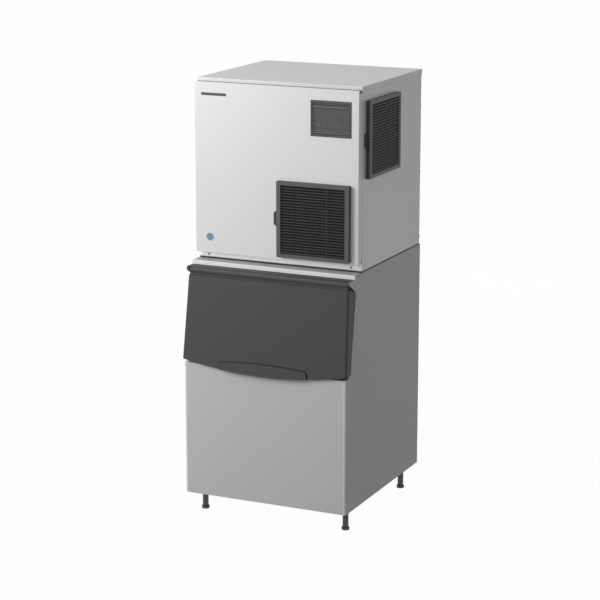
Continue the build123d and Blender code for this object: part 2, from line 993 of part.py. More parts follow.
def top_panel():
    """Top panel: a shallow cap with a short flange at the front and deeper ones elsewhere."""
    y = (body_front, bin_back - top_back_inset)
    low = maker_top - top_side_flange
    outer = block(both_ways(half_width), y, (low, maker_top))
    outer = fillet(outer.edges().group_by(Axis.Z)[-1], sheet)
    inner = block(
        both_ways(half_width - sheet),
        (y[0] + sheet, y[1] - sheet),
        (low - cut_past, maker_top - sheet),
    )
    front_cut = block(
        both_ways(half_width - casing_flange / 2),
        (y[0] - cut_past, y[0] + 2 * sheet),
        (low - cut_past, maker_top - top_front_flange),
    )
    return outer - inner - front_cut


def front_panel():
    """Front panel: a tray that stands proud of the body, cut for the window and the grille."""
    half = half_width - front_panel_inset
    low = bin_top + front_panel_low
    high = bin_top + front_panel_high
    outer = block(both_ways(half), (panel_front, side_front - 2 * seam), (low, high))
    outer = fillet(outer.edges().filter_by(Axis.Z).group_by(Axis.Y)[0], panel_bend_radius)
    inner = block(
        both_ways(half - sheet), (panel_front + sheet, side_front), (low + sheet, high - sheet)
    )
    inner = fillet(inner.edges().filter_by(Axis.Z).group_by(Axis.Y)[0], panel_bend_radius - sheet)
    above = block(
        both_ways(half_width),
        (panel_front + front_panel_hem, far),
        (high - casing_flange, high + cut_past),
    )
    below = block(
        both_ways(half_width),
        (body_front - seam, far),
        (low - cut_past, low + 2 * sheet + apron_height / 2),
    )
    panel = outer - inner - above - below
    panel -= front_grille_place() * grille_opening()
    return panel - window_opening(window_width - 2 * bezel_wall, window_height - 2 * bezel_wall)


# Air grilles and filters


def front_grille_place():
    """Where the front grille sits: its back plane on the front panel."""
    return Pos(grille_centre_x, panel_front, bin_top + grille_centre_height)


def side_grille_place():
    """Where the side grille sits: its back plane on the right side panel."""
    return Pos(half_width, bin_front + side_grille_setback, bin_top + side_grille_height) * Rot(0, 0, 90)


def grille_opening():
    """The air opening behind a grille, through the panel."""
    return block(
        both_ways(grille_opening_width / 2),
        (-grille_proud / 2, 2 * sheet),
        both_ways(grille_opening_height / 2),
    )


def air_grille():
    """Louvred grille with a slot at its left for the filter; its back plane is at Y zero."""
    ring = block(both_ways(grille_width / 2), (-grille_proud, 0), both_ways(grille_height / 2))
    ring = fillet(ring.edges().filter_by(Axis.Y), grille_corner_radius)
    ring = chamfer(ring.faces().sort_by(Axis.Y)[0].edges(), sheet)
    ring -= block(both_ways(grille_opening_width / 2), (-far, far), both_ways(grille_opening_height / 2))
    ring -= block(
        (-far, grille_opening_width / 2 + filter_margin + slide_clearance),
        (-filter_thickness - 2 * slide_clearance, 0),
        both_ways(grille_opening_height / 2 + filter_margin + slide_clearance),
    )
    front = -grille_proud + slat_setback
    half = grille_opening_width / 2 + seam
    for number in range(slat_count):
        low = (number - slat_count / 2) * slat_pitch + slat_thickness
        slat = polygon(
            (front, low),
            (front + slat_depth, low + slat_rise),
            (front + slat_depth, low + slat_rise + slat_thickness),
            (front, low + slat_thickness),
        )
        ring += side_prism(slat, -half, half)
    return ring + block(
        (rib_offset - rib_thickness / 2, rib_offset + rib_thickness / 2),
        (front + slat_thickness, front + slat_depth),
        both_ways(grille_opening_height / 2 + seam),
    )


def air_filter():
    """Filter frame with a coarse grid and a pull tab, in the grille's own frame."""
    back = -slide_clearance
    front = back - filter_thickness
    half_height = grille_opening_height / 2 + filter_margin
    left = -grille_width / 2 + filter_end_inset
    right = grille_opening_width / 2 + filter_margin
    frame = block((left, right), (front, back), both_ways(half_height))
    cell_x = (grille_opening_width - filter_bar) / filter_cells
    cell_z = (grille_opening_height - filter_bar) / filter_cells
    for column in range(filter_cells):
        for row in range(filter_cells):
            x = (column - (filter_cells - 1) / 2) * cell_x
            z = (row - (filter_cells - 1) / 2) * cell_z
            cell = Pos(x, z) * Rectangle(cell_x - filter_bar, cell_z - filter_bar)
            frame -= front_prism(cell, -far, far)
    outer = -grille_width / 2 - tab_reach
    tab = polygon(
        (left, -tab_half_height),
        (left, tab_half_height),
        (outer + tab_chamfer, tab_half_height),
        (outer, tab_half_height - tab_chamfer),
        (outer, -tab_half_height + tab_chamfer),
        (outer + tab_chamfer, -tab_half_height),
    )
    return frame + front_prism(tab, front, back)


# Control window


def window_place():
    """Middle of the control window on the front panel's face."""
    return (window_centre_x, bin_top + window_centre_height)


def window_opening(width, height):
    """A rectangular hole at the control window."""
    hole = Pos(*window_place()) * Rectangle(width, height)
    return front_prism(hole, panel_front - cut_reach, panel_front + cut_reach)


def window_box(width, height, y_low, y_high):
    """A rectangular block centred on the control window."""
    return front_prism(Pos(*window_place()) * Rectangle(width, height), y_low, y_high)


def control_bezel():
    """Dark frame of the control window: a rim on the panel and a sleeve through it."""
    rim = window_box(window_width, window_height, panel_front - bezel_proud, panel_front)
    rim = chamfer(rim.faces().sort_by(Axis.Y)[0].edges(), sheet)
    sleeve = window_box(
        window_width - 2 * bezel_wall - seam,
        window_height - 2 * bezel_wall - seam,
        panel_front - sheet,
        panel_front + bezel_depth,
    )
    bezel = rim + sleeve
    bezel -= window_opening(window_width - 2 * bezel_rim, window_height - 2 * bezel_rim)
    return bezel - cover_pins(cover_pin_radius + running_clearance, bezel_rim / 2 + seam)


def cover_axis():
    """Side-view place of the cover's hinge axis."""
    top = bin_top + window_centre_height + window_height / 2 - bezel_rim
    return (panel_front, top - cover_gap - cover_thickness)


def cover_pins(radius, reach):
    """A round bar along the cover's hinge axis, reaching into the bezel."""
    half = window_width / 2 - bezel_rim + reach
    place = Pos(*cover_axis())
    return side_prism(place * Circle(radius), window_centre_x - half, window_centre_x + half)


def control_cover():
    """Smoked cover, hinged along its top edge, with a finger notch at its bottom."""
    axis_y, axis_z = cover_axis()
    half = window_width / 2 - bezel_rim - cover_gap
    low = bin_top + window_centre_height - window_height / 2 + bezel_rim + cover_gap
    cover = block(
        (window_centre_x - half, window_centre_x + half),
        (axis_y - cover_thickness / 2, axis_y + cover_thickness / 2),
        (low, axis_z),
    )
    notch_x = window_centre_x + cover_notch_offset
    notch = polygon(
        (notch_x - cover_notch_width / 2, low - cut_past),
        (notch_x, low + cover_notch_depth),
        (notch_x + cover_notch_width / 2, low - cut_past),
    )
    cover -= front_prism(notch, -far, far)
    barrel = side_prism(
        Pos(axis_y, axis_z) * Circle(cover_thickness), window_centre_x - half, window_centre_x + half
    )
    return cover + barrel + cover_pins(cover_pin_radius, bezel_rim / 2)


def switch_place():
    """Front-view place of the power switch's middle."""
    return (window_centre_x + switch_offset_x, bin_top + window_centre_height)


def control_panel():
    """Plate behind the cover that carries the power switch."""
    front = panel_front + control_panel_depth
    plate = window_box(
        window_width - 2 * bezel_rim - seam,
        window_height - 2 * bezel_rim - seam,
        front,
        front + control_panel_thickness,
    )
    hole = Pos(*switch_place()) * Rectangle(switch_width, switch_length)
    return plate - front_prism(hole, front - cut_past, front + 2 * control_panel_thickness)


def switch_frame():
    """Housing of the power switch, snapped into the control panel."""
    front = panel_front + control_panel_depth
    place = Pos(*switch_place())
    body = place * Rectangle(switch_width, switch_length)
    body = front_prism(body, front, front + switch_frame_depth)
    rim = place * Rectangle(switch_width + 2 * switch_rim, switch_length + 2 * switch_rim)
    body += front_prism(rim, front - switch_rim, front)
    inner_width = switch_width - 2 * switch_frame_wall
    inner_length = switch_length - 2 * switch_frame_wall
    pocket = place * Rectangle(inner_width, inner_length)
    body -= front_prism(pocket, front - 2 * switch_rim, front + switch_pocket_depth)
    return body - switch_pin(switch_pin_radius + running_clearance, switch_width / 2 - switch_rim)


def switch_pin(radius, half_length):
    """A round bar along the switch's pivot axis."""
    x, z = switch_place()
    y = panel_front + control_panel_depth + switch_frame_wall
    return side_prism(Pos(y, z) * Circle(radius), x - half_length, x + half_length)


def power_switch():
    """Rocker of the power switch, stored tilted to its lower stop."""
    x, z = switch_place()
    y = panel_front + control_panel_depth + switch_frame_wall
    half_length = switch_length / 2 - switch_frame_wall - 4 * seam
    half_width_x = switch_width / 2 - switch_frame_wall - seam
    rocker = polygon(
        (-rocker_rise, -half_length),
        (rocker_dip - rocker_rise, 0),
        (-rocker_rise, half_length),
        (0, half_length - seam),
        (rocker_rise, rocker_keel),
        (rocker_rise, -rocker_keel),
        (0, -half_length + seam),
    )
    tilted = Pos(y, z) * Rot(0, 0, switch_tilt) * rocker
    body = side_prism(tilted, x - half_width_x, x + half_width_x)
    return body + switch_pin(switch_pin_radius, switch_width / 2 - switch_frame_wall / 2)


def control_box():
    """Sheet box of the electrical parts, hung under the frame's front rail."""
    x_high = half_width - casing_flange - post_width - 2 * seam
    y_low = side_front + sheet + 2 * seam
    z_high = side_top - sheet - post_width - seam
    box = block(
        (x_high - control_box_width, x_high),
        (y_low, y_low + control_box_depth),
        (z_high - control_box_height, z_high),
    )
    return box - block(
        (x_high - control_box_width + sheet, x_high - sheet),
        (y_low + sheet, y_low + control_box_depth + cut_past),
        (z_high - control_box_height + sheet, z_high - sheet),
    )


# Refrigeration


def condenser():
    """Finned coil block with side plates that stand on the base pan."""
    front = bin_front + condenser_setback
    x = (grille_centre_x - condenser_width / 2, grille_centre_x + condenser_width / 2)
    low = bin_top + grille_centre_height - condenser_height / 2
    high = low + condenser_height
    core = block(x, (front, front + condenser_depth), (low, high))
    count = int((condenser_width - fin_pitch) / fin_pitch)
    for number in range(count):
        groove_x = x[0] + fin_pitch * (number + 1)
        for face in (front, front + condenser_depth - fin_groove_depth):
            core -= block(
                (groove_x - fin_groove / 2, groove_x + fin_groove / 2),
                (face, face + fin_groove_depth),
                (low - cut_past, high + cut_past),
            )
    for plate_x in ((x[0] - condenser_plate, x[0]), (x[1], x[1] + condenser_plate)):
        core += block(plate_x, (front, front + condenser_depth), (maker_base + sheet, high))
    return core


def fan_centre():
    """Front-view place of the fan's axis."""
    return (grille_centre_x, bin_top + grille_centre_height)


def fan_y():
    """Middle of the fan along its axis."""
    return bin_front + condenser_setback + condenser_depth + shroud_depth - fan_gap


def fan_shroud():
    """Sheet shroud behind the condenser with the fan's round opening."""
    front = bin_front + condenser_setback + condenser_depth + seam
    half = condenser_width / 2
    high = bin_top + grille_centre_height + condenser_height / 2
    x = (grille_centre_x - half, grille_centre_x + half)
    shroud = block(x, (front, front + shroud_depth), (maker_base + sheet, high))
    shroud -= block(
        (x[0] + shroud_wall, x[1] - shroud_wall),
        (front - cut_past, front + shroud_depth - shroud_wall),
        (maker_base + sheet + shroud_wall, high - shroud_wall),
    )
    opening = Pos(*fan_centre()) * Circle(fan_radius + fan_gap)
    return shroud - front_prism(opening, front - cut_past, front + 2 * shroud_depth)


def fan_blade():
    """Fan: hub and pitched blades, turning on the motor's shaft."""
    y_mid = fan_y()
    x, z = fan_centre()
    hub = Pos(x, z) * Circle(fan_hub_radius)
    hub = front_prism(hub, y_mid - fan_hub_front, y_mid + fan_hub_back)
    root = fan_hub_radius - fan_blade_root
    for number in range(fan_blade_count):
        blade = Pos((root + fan_radius) / 2, 0, 0) * Rot(fan_blade_pitch, 0, 0)
        blade = blade * Box(fan_radius - root, fan_blade_thickness, fan_blade_chord)
        turned = Rot(0, number * 360 / fan_blade_count, 0) * blade
        hub += Pos(x, y_mid, z) * turned
    return hub - fan_shaft_bar(fan_shaft_radius + running_clearance)


def fan_shaft_bar(radius):
    """A round bar along the fan's axis, from the hub into the motor."""
    y_mid = fan_y()
    bar = Pos(*fan_centre()) * Circle(radius)
    return front_prism(bar, y_mid - fan_shaft_front, y_mid + fan_shaft_back)


def fan_motor():
    """Fan motor with its shaft and the three-armed bracket that bolts it to the shroud."""
    shroud_back = bin_front + condenser_setback + condenser_depth + seam + shroud_depth
    front = shroud_back + fan_motor_gap
    x, z = fan_centre()
    place = Pos(x, z)
    motor = front_prism(place * Circle(fan_motor_radius), front, front + fan_motor_length)
    motor += fan_shaft_bar(fan_shaft_radius)
    arm_start = fan_motor_radius - fan_arm_root
    arm_end = fan_radius + fan_gap + fan_arm_reach
    arm_front = front + fan_arm_setback
    arm_back = arm_front + fan_arm_thickness
    for number in range(fan_arm_count):
        turn = Rot(0, 0, 90 + number * 360 / fan_arm_count)
        arm = place * turn * Pos((arm_start + arm_end) / 2, 0)
        arm = arm * Rectangle(arm_end - arm_start, fan_arm_width)
        pad = place * turn * Pos(arm_end - fan_pad_inset, 0) * Rectangle(fan_arm_width, fan_arm_width)
        motor += front_prism(arm, arm_front, arm_back)
        motor += front_prism(pad, shroud_back, arm_back)
    return motor


def compressor():
    """Welded compressor shell with a domed top and its base plate."""
    low = maker_base + sheet + compressor_mount_height
    place = Pos(compressor_x, compressor_y)
    shell = plan_prism(place * Circle(compressor_radius), low, low + compressor_height)
    shell = fillet(shell.edges().group_by(Axis.Z)[-1], compressor_radius / 2)
    plate_side = 2 * (compressor_foot_offset + compressor_plate_margin)
    plate = place * RectangleRounded(plate_side, plate_side, compressor_plate_corner)
    terminal = place * Pos(-compressor_radius, 0) * Rectangle(terminal_depth, terminal_width)
    shell += plan_prism(terminal, low + terminal_rise, low + terminal_rise + terminal_height)
    return shell + plan_prism(plate, low - compressor_plate_thickness, low)


def compressor_mounts():
    """Four rubber feet between the compressor's plate and the base pan."""
    low = maker_base + sheet
    high = low + compressor_mount_height - compressor_plate_thickness
    mounts = []
    for x in both_ways(compressor_foot_offset):
        for y in both_ways(compressor_foot_offset):
            mount = Pos(compressor_x + x, compressor_y + y) * Circle(compressor_mount_radius)
            mounts.append(plan_prism(mount, low, high))
    return Compound(mounts)


def pipe(points):
    """A copper pipe along straight runs with rounded bends."""
    path = FilletPolyline(*points, radius=pipe_bend_radius)
    profile = Plane(path @ 0, z_dir=path % 0) * Circle(pipe_radius)
    return sweep(profile, path=path)


def drier_ends():
    """Both ends of the drier on the liquid pipe."""
    y = drier_front_y
    return (drier_x, y, pipe_low_z), (drier_x, y + drier_length, pipe_low_z)


def drier():
    """Drier brazed into the liquid pipe, with drawn-in ends."""
    low, high = drier_ends()
    body = front_prism(Pos(drier_x, pipe_low_z) * Circle(drier_radius), low[1], high[1])
    ends = body.edges().filter_by(GeomType.CIRCLE)
    return chamfer(ends, drier_radius - pipe_radius - drier_neck)


def refrigerant_pipes():
    """Pipes from the compressor to the condenser, on to the evaporator and back."""
    condenser_y = bin_front + condenser_setback + condenser_depth / 2
    right = grille_centre_x + condenser_width / 2 + condenser_plate
    left = grille_centre_x - condenser_width / 2 - condenser_plate
    compressor_front = compressor_y - compressor_radius
    turn_y = compressor_front - pipe_front_run
    side_x = right + pipe_side_run
    evaporator_x = column_x + evaporator_radius
    compressor_top = maker_base + sheet + compressor_mount_height + compressor_height
    front_end, back_end = drier_ends()
    hot_gas = pipe(
        [
            (compressor_x, compressor_front, pipe_low_z),
            (compressor_x, turn_y, pipe_low_z),
            (side_x, turn_y, pipe_low_z),
            (side_x, condenser_y, pipe_low_z),
            (right, condenser_y, pipe_low_z),
        ]
    )
    liquid = pipe([(left, condenser_y, pipe_low_z), (drier_x, condenser_y, pipe_low_z), front_end])
    liquid += drier()
    liquid += pipe(
        [
            back_end,
            (drier_x, column_y, pipe_low_z),
            (drier_x, column_y, pipe_middle_z),
            (evaporator_x, column_y, pipe_middle_z),
        ]
    )
    suction = pipe(
        [
            (evaporator_x, column_y, pipe_high_z),
            (compressor_x / 3, column_y, pipe_high_z),
            (compressor_x / 3, compressor_y, pipe_high_z),
            (compressor_x, compressor_y, pipe_high_z),
            (compressor_x, compressor_y, compressor_top),
        ]
    )
    return Compound([hot_gas, *liquid.solids(), suction])


# Ice making column

gearbox_low = maker_base + sheet
gearbox_top = gearbox_low + gearbox_foot_height + gearbox_height
housing_top = gearbox_top + housing_height
evaporator_top = housing_top + evaporator_height
head_top = evaporator_top + head_height
shaft_low = gearbox_low + gearbox_foot_height + gearbox_height / 3
column = Pos(column_x, column_y)


def column_ring(outer_radius, inner_radius, z_low, z_high):
    """A round ring on the column's axis."""
    ring = column * (Circle(outer_radius) - Circle(inner_radius))
    return plan_prism(ring, z_low, z_high)


def gear_motor():
    """Gearbox on four feet with its motor at the side, bored for the auger's shaft."""
    low = gearbox_low + gearbox_foot_height
    plan = column * RectangleRounded(2 * gearbox_half_width, 2 * gearbox_half_width, gearbox_corner)
    body = plan_prism(plan, low, gearbox_top)
    offset_to_foot = gearbox_half_width - gearbox_foot_inset
    for x in both_ways(offset_to_foot):
        for y in both_ways(offset_to_foot):
            body += plan_prism(column * Pos(x, y) * Circle(gearbox_foot_radius), gearbox_low, low)
    motor_y = column_y + gearbox_half_width + motor_radius - motor_overlap
    motor = Pos(column_x, motor_y) * Circle(motor_radius)
    body += plan_prism(motor, low + motor_rise, low + motor_rise + motor_length)
    bore = column * Circle(auger_shaft_radius + running_clearance)
    return body - plan_prism(bore, shaft_low - seam, gearbox_top + cut_past)


def lower_housing():
    """Flanged seal housing between the gearbox and the evaporator."""
    bore = auger_shaft_radius + running_clearance
    body = column_ring(housing_radius, bore, gearbox_top, housing_top)
    waist = column_ring(
        housing_radius + cut_past,
        housing_radius - housing_flange,
        gearbox_top + housing_flange,
        housing_top - housing_flange,
    )
    return body - waist


def evaporator():
    """Freezing cylinder in which the auger turns."""
    return column_ring(evaporator_radius, barrel_radius, housing_top, evaporator_top)


def auger():
    """Auger: a two-start flight on a core, with shaft ends in the gearbox and the head."""
    low = housing_top + auger_end_gap
    high = evaporator_top - auger_end_gap
    blade = Rectangle(2 * (barrel_radius - auger_gap), flight_thickness)
    flight = Solid.extrude_linear_with_rotation(
        blade.face(), (0, 0, 0), Vector(0, 0, high - low), auger_turns * 180
    )
    flight = Pos(column_x, column_y, low) * Part(flight.wrapped)
    flight += plan_prism(column * Circle(auger_core_radius), low, high)
    shaft = plan_prism(column * Circle(auger_shaft_radius), shaft_low, head_top + cutter_height / 2)
    return flight + shaft


def extruding_head():
    """Head that presses the ice into bars through its upright slots."""
    bore = auger_shaft_radius + running_clearance
    head = column_ring(housing_radius, bore, evaporator_top, head_top)
    for number in range(head_slot_count):
        turn = Rot(0, 0, number * 360 / head_slot_count)
        slot = Pos(barrel_radius - head_slot_inset, 0) * Rectangle(head_slot_depth, head_slot_width)
        head -= plan_prism(column * turn * slot, evaporator_top - cut_past, head_top + cut_past)
    return head


def cutter():
    """Cutter that breaks the ice bars, fixed on the end of the auger's shaft."""
    low = head_top + cutter_gap
    hub = column_ring(cutter_hub_radius, auger_shaft_radius, low, low + cutter_height)
    arm_middle = (cutter_radius + cutter_arm_root) / 2
    for number in range(cutter_arm_count):
        turn = Rot(0, 0, number * 360 / cutter_arm_count)
        arm = Pos(arm_middle, 0) * Rectangle(cutter_radius - cutter_arm_root, cutter_arm_width)
        hub += plan_prism(column * turn * arm, low, low + cutter_height / 2)
    return hub


# Ice path


def chute_rectangle(shrink=0.0):
    """The chute's plan."""
    place = Pos(column_x, chute_centre_y)
    return place * Rectangle(chute_width - 2 * shrink, chute_depth - 2 * shrink)


def ice_chute():
    """Upright duct that leads the ice from the spout down into the bin."""
    low = bin_top - chute_drop
    duct = plan_prism(chute_rectangle() - chute_rectangle(chute_wall), low, head_top)
    return duct - flap_pin(flap_pin_radius + running_clearance, chute_width / 2 + cut_past)


def ice_spout():
    """Covered spout from the extruding head to the chute."""
    front = chute_centre_y - chute_depth / 2
    back = column_y + housing_radius + chute_wall
    high = head_top + spout_height
    outline = polygon(
        (front, head_top),
        (back, head_top),
        (back, high),
        (front + spout_corner, high),
        (front, high - spout_corner),
    )
    half = chute_width / 2 + chute_wall
    body = side_prism(outline, column_x - half, column_x + half)
    inner = offset(outline, amount=-chute_wall, kind=Kind.INTERSECTION)
    body -= side_prism(inner, column_x - half + chute_wall, column_x + half - chute_wall)
    floor = (head_top - cut_past, head_top + 2 * chute_wall)
    body -= plan_prism(chute_rectangle(chute_wall), *floor)
    return body - plan_prism(column * Circle(housing_radius - cut_past), *floor)


def flap_axis():
    """Side-view place of the bin control flap's pin."""
    y = chute_centre_y + chute_depth / 2 - chute_wall - flap_pin_inset
    return (y, maker_base + flap_drop)


def flap_pin(radius, half_length):
    """A round bar along the flap's pivot axis."""
    return side_prism(Pos(*flap_axis()) * Circle(radius), column_x - half_length, column_x + half_length)


def bin_control_flap():
    """Flap in the chute that the ice pushes aside when the bin is full."""
    y, z = flap_axis()
    half = chute_width / 2 - chute_wall - slide_clearance
    plate = block(
        (column_x - half, column_x + half),
        (y - flap_thickness / 2, y + flap_thickness / 2),
        (z - flap_height, z),
    )
    return plate + flap_pin(flap_pin_radius, chute_width / 2 - seam)


# Water side


def reservoir_box():
    """The reservoir's outer corners: X, Y and Z ranges."""
    x = (reservoir_centre_x - reservoir_width / 2, reservoir_centre_x + reservoir_width / 2)
    y = (side_back - seam - reservoir_depth, side_back - seam)
    z = (maker_base + reservoir_low, maker_base + reservoir_low + reservoir_height)
    return x, y, z


def reservoir():
    """Open water tank, held against the rear panel."""
    x, y, z = reservoir_box()
    tank = block(x, y, z)
    return tank - block(
        (x[0] + reservoir_wall, x[1] - reservoir_wall),
        (y[0] + reservoir_wall, y[1] - reservoir_wall),
        (z[0] + reservoir_wall, z[1] + cut_past),
    )


def reservoir_lid():
    """Lid of the tank with the rod that guides the float."""
    x, y, z = reservoir_box()
    lid = block(x, y, (z[1], z[1] + reservoir_wall))
    rod = plan_prism(
        Pos(sum(x) / 2, sum(y) / 2) * Circle(float_rod_radius),
        z[0] + reservoir_wall,
        z[1] + cut_past,
    )
    return lid + rod


def water_float():
    """Float that rides on the rod with the water level, stored at its lower stop."""
    x, y, z = reservoir_box()
    ring = Pos(sum(x) / 2, sum(y) / 2) * (
        Circle(float_radius) - Circle(float_rod_radius + running_clearance)
    )
    low = z[0] + reservoir_wall + 2 * seam
    return plan_prism(ring, low, low + float_height)


def rear_fitting(x, height, radius, bore, inner_length):
    """A spigot through the rear panel with a flange behind it."""
    place = Pos(x, maker_base + height)
    flange_radius = radius + fitting_flange_radius - fitting_radius
    outer_end = side_back + sheet + fitting_reach
    body = front_prism(place * Circle(radius), side_back - inner_length, outer_end)
    flange_y = side_back + sheet
    body += front_prism(place * Circle(flange_radius), flange_y, flange_y + fitting_flange_thickness)
    return body - front_prism(place * Circle(bore), side_back - inner_length - cut_past, far)


def water_inlet():
    """Threaded water inlet at the back."""
    return rear_fitting(
        water_inlet_x, water_inlet_height, fitting_radius, fitting_bore_radius, fitting_inner_length
    )


def water_valve():
    """Water valve behind the inlet."""
    place = Pos(water_inlet_x, maker_base + water_inlet_height)
    y = side_back - fitting_inner_length
    body = place * RectangleRounded(valve_body, valve_body, valve_corner)
    body = front_prism(body, y - valve_length, y)
    coil = Pos(water_inlet_x, y - valve_length / 2) * Circle(valve_coil_radius)
    middle = maker_base + water_inlet_height
    return body + plan_prism(coil, middle, middle + valve_coil_height)


def machine_drain():
    """Drain spigot of the ice maker's base pan."""
    return rear_fitting(
        machine_drain_x,
        machine_drain_height,
        fitting_radius,
        fitting_bore_radius,
        fitting_inner_length,
    )


def cable_gland():
    """Gland for the supply cable."""
    return rear_fitting(
        cable_gland_x,
        cable_gland_height,
        cable_gland_radius,
        cable_gland_bore_radius,
        cable_gland_inner_length,
    )


# Screws


def screw_head():
    """Low screw head that faces the front; its back plane is at Y zero."""
    head = front_prism(Circle(screw_radius), -screw_height, 0)
    return chamfer(head.edges().sort_by(Axis.Y)[0], screw_height / 2)


def panel_screws():
    """Screws of the front apron and of the side panels' rear edges."""
    heads = []
    apron_screw_z = maker_base + base_bend_radius + apron_screw_rise
    for x in both_ways(half_width - apron_screw_inset):
        heads.append(Pos(x, body_front, apron_screw_z) * screw_head())
    for number in range(side_screw_count):
        height = side_screw_low + number * side_screw_pitch
        place = Pos(half_width, side_back - side_screw_inset, bin_top + height)
        right = place * Rot(0, 0, 90) * screw_head()
        heads += [right, mirror(right, Plane.YZ)]
    return Compound(heads)


def main():
    """Write one STEP file for each piece."""
    pieces = {
        "bin_shell": bin_shell(),
        "bin_back_panel": bin_back_panel(),
        "bin_floor_pan": bin_floor_pan(),
        "bin_deck": bin_deck(),
        "bin_liner": bin_liner(),
        "bin_insulation": bin_insulation(),
        "bin_drain": bin_drain(),
        "mouth_trim": mouth_trim(),
        "door_gasket": door_gasket(),
        "hinge_bushes": hinge_bushes(),
        "hinge_pins": hinge_pins(),
        "bin_door": bin_door(),
        "door_inner_panel": door_inner_panel(),
        "legs": Compound([Pos(x, y) * leg() for x, y in leg_places().values()]),
        "seat_gasket": seat_gasket(),
        "maker_base_pan": maker_base_pan(),
        "casing_frame": casing_frame(),
        "right_side_panel": right_side_panel(),
        "left_side_panel": left_side_panel(),
        "rear_panel": rear_panel(),
        "top_panel": top_panel(),
        "front_panel": front_panel(),
        "front_grille": front_grille_place() * air_grille(),
        "side_grille": side_grille_place() * air_grille(),
        "front_filter": front_grille_place() * air_filter(),
        "side_filter": side_grille_place() * air_filter(),
        "control_bezel": control_bezel(),
        "control_cover": control_cover(),
        "control_panel": control_panel(),
        "switch_frame": switch_frame(),
        "power_switch": power_switch(),
        "control_box": control_box(),
        "condenser": condenser(),
        "fan_shroud": fan_shroud(),
        "fan_blade": fan_blade(),
        "fan_motor": fan_motor(),
        "compressor": compressor(),
        "compressor_mounts": compressor_mounts(),
        "refrigerant_pipes": refrigerant_pipes(),
        "gear_motor": gear_motor(),
        "lower_housing": lower_housing(),
        "evaporator": evaporator(),
        "auger": auger(),
        "extruding_head": extruding_head(),
        "cutter": cutter(),
        "ice_chute": ice_chute(),
        "ice_spout": ice_spout(),
        "bin_control_flap": bin_control_flap(),
        "reservoir": reservoir(),
        "reservoir_lid": reservoir_lid(),
        "water_float": water_float(),
        "water_inlet": water_inlet(),
        "water_valve": water_valve(),
        "machine_drain": machine_drain(),
        "cable_gland": cable_gland(),
        "panel_screws": panel_screws(),
    }
    for name, place in leg_places().items():
        pieces["foot_" + name] = Pos(*place) * foot()
    os.makedirs("parts", exist_ok=True)
    for name, piece in pieces.items():
        export_step(piece, "parts/" + name + ".step")


main()
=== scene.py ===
import json
import math

import bmesh
import bpy
from bpy.props import FloatProperty, FloatVectorProperty, IntProperty, PointerProperty
from mathutils import Matrix, Vector


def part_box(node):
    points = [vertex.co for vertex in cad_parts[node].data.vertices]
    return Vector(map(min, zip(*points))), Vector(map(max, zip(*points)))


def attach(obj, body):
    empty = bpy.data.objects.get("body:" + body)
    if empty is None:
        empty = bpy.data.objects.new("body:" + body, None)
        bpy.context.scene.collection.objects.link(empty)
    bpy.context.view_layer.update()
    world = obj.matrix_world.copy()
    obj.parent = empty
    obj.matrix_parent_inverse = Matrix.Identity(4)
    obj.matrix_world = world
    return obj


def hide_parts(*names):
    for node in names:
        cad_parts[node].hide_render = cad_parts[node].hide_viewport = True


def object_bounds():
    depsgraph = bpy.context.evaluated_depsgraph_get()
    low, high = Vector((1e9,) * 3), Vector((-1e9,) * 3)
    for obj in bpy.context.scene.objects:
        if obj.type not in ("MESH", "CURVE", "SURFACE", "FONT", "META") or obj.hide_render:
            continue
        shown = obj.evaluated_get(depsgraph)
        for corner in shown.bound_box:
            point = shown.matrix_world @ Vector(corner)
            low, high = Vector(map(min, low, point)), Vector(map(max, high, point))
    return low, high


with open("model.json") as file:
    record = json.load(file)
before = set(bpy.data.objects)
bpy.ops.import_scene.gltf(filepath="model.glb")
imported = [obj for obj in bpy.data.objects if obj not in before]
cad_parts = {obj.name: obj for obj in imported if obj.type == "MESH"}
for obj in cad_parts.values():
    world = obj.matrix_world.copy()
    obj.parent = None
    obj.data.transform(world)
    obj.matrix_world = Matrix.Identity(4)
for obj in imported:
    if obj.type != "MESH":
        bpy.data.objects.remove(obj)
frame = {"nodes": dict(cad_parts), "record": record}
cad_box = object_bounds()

bl_info = {
    "name": "Granular ice machine",
    "version": (1, 0, 0),
    "blender": (4, 5, 0),
    "location": "3D View > Sidebar > Ice machine",
    "description": "Surfaces and details of a granular ice machine on its bin",
    "category": "Object",
}

MM = 0.001
MERGE_DISTANCE = 1e-6
FLAT_ANGLE = math.radians(0.5)
SHARP_ANGLE = math.radians(40)
EDGE_ANGLE = math.radians(35)
X, Y, Z = range(3)
FORWARDS = (0, -1, 0)
BACKWARDS = (0, 1, 0)
WHITE = (1.0, 1.0, 1.0)
# Near-black colour of the painted shade along the seam between the ice maker and the bin
SEAM_SHADE = (0.03, 0.03, 0.03)
# Levels of the machine's own surfaces that finishes and details follow
SEAM_HEIGHT = sum(corner.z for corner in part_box("seat_gasket")) / 2
DECK_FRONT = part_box("bin_deck")[0].y
GRILLE_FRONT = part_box("front_grille")[0].y
GRILLE_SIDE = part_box("side_grille")[1].x
GRILLE_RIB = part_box("front_grille")[1].x - 102 * MM
BIN_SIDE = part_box("bin_shell")[1].x
COVER_FRONT = sum(corner.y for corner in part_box("control_cover")) / 2 - 1.25 * MM


def metres(*lengths):
    """Lengths given in millimetres."""
    return [length * MM for length in lengths]


# Settings


def colour(name, description, default):
    """A colour that a user can change."""
    return FloatVectorProperty(
        name=name, description=description, default=default, subtype="COLOR", min=0.0, max=1.0
    )


def length(name, description, default):
    """A length that a user can change, given in millimetres and kept in metres."""
    return FloatProperty(
        name=name, description=description, default=default * MM, unit="LENGTH", min=0.0, precision=5
    )


def power(name, where, default):
    """A lamp's power in watts."""
    return FloatProperty(name=name, description="Power of the lamp " + where, default=default, min=0.0)


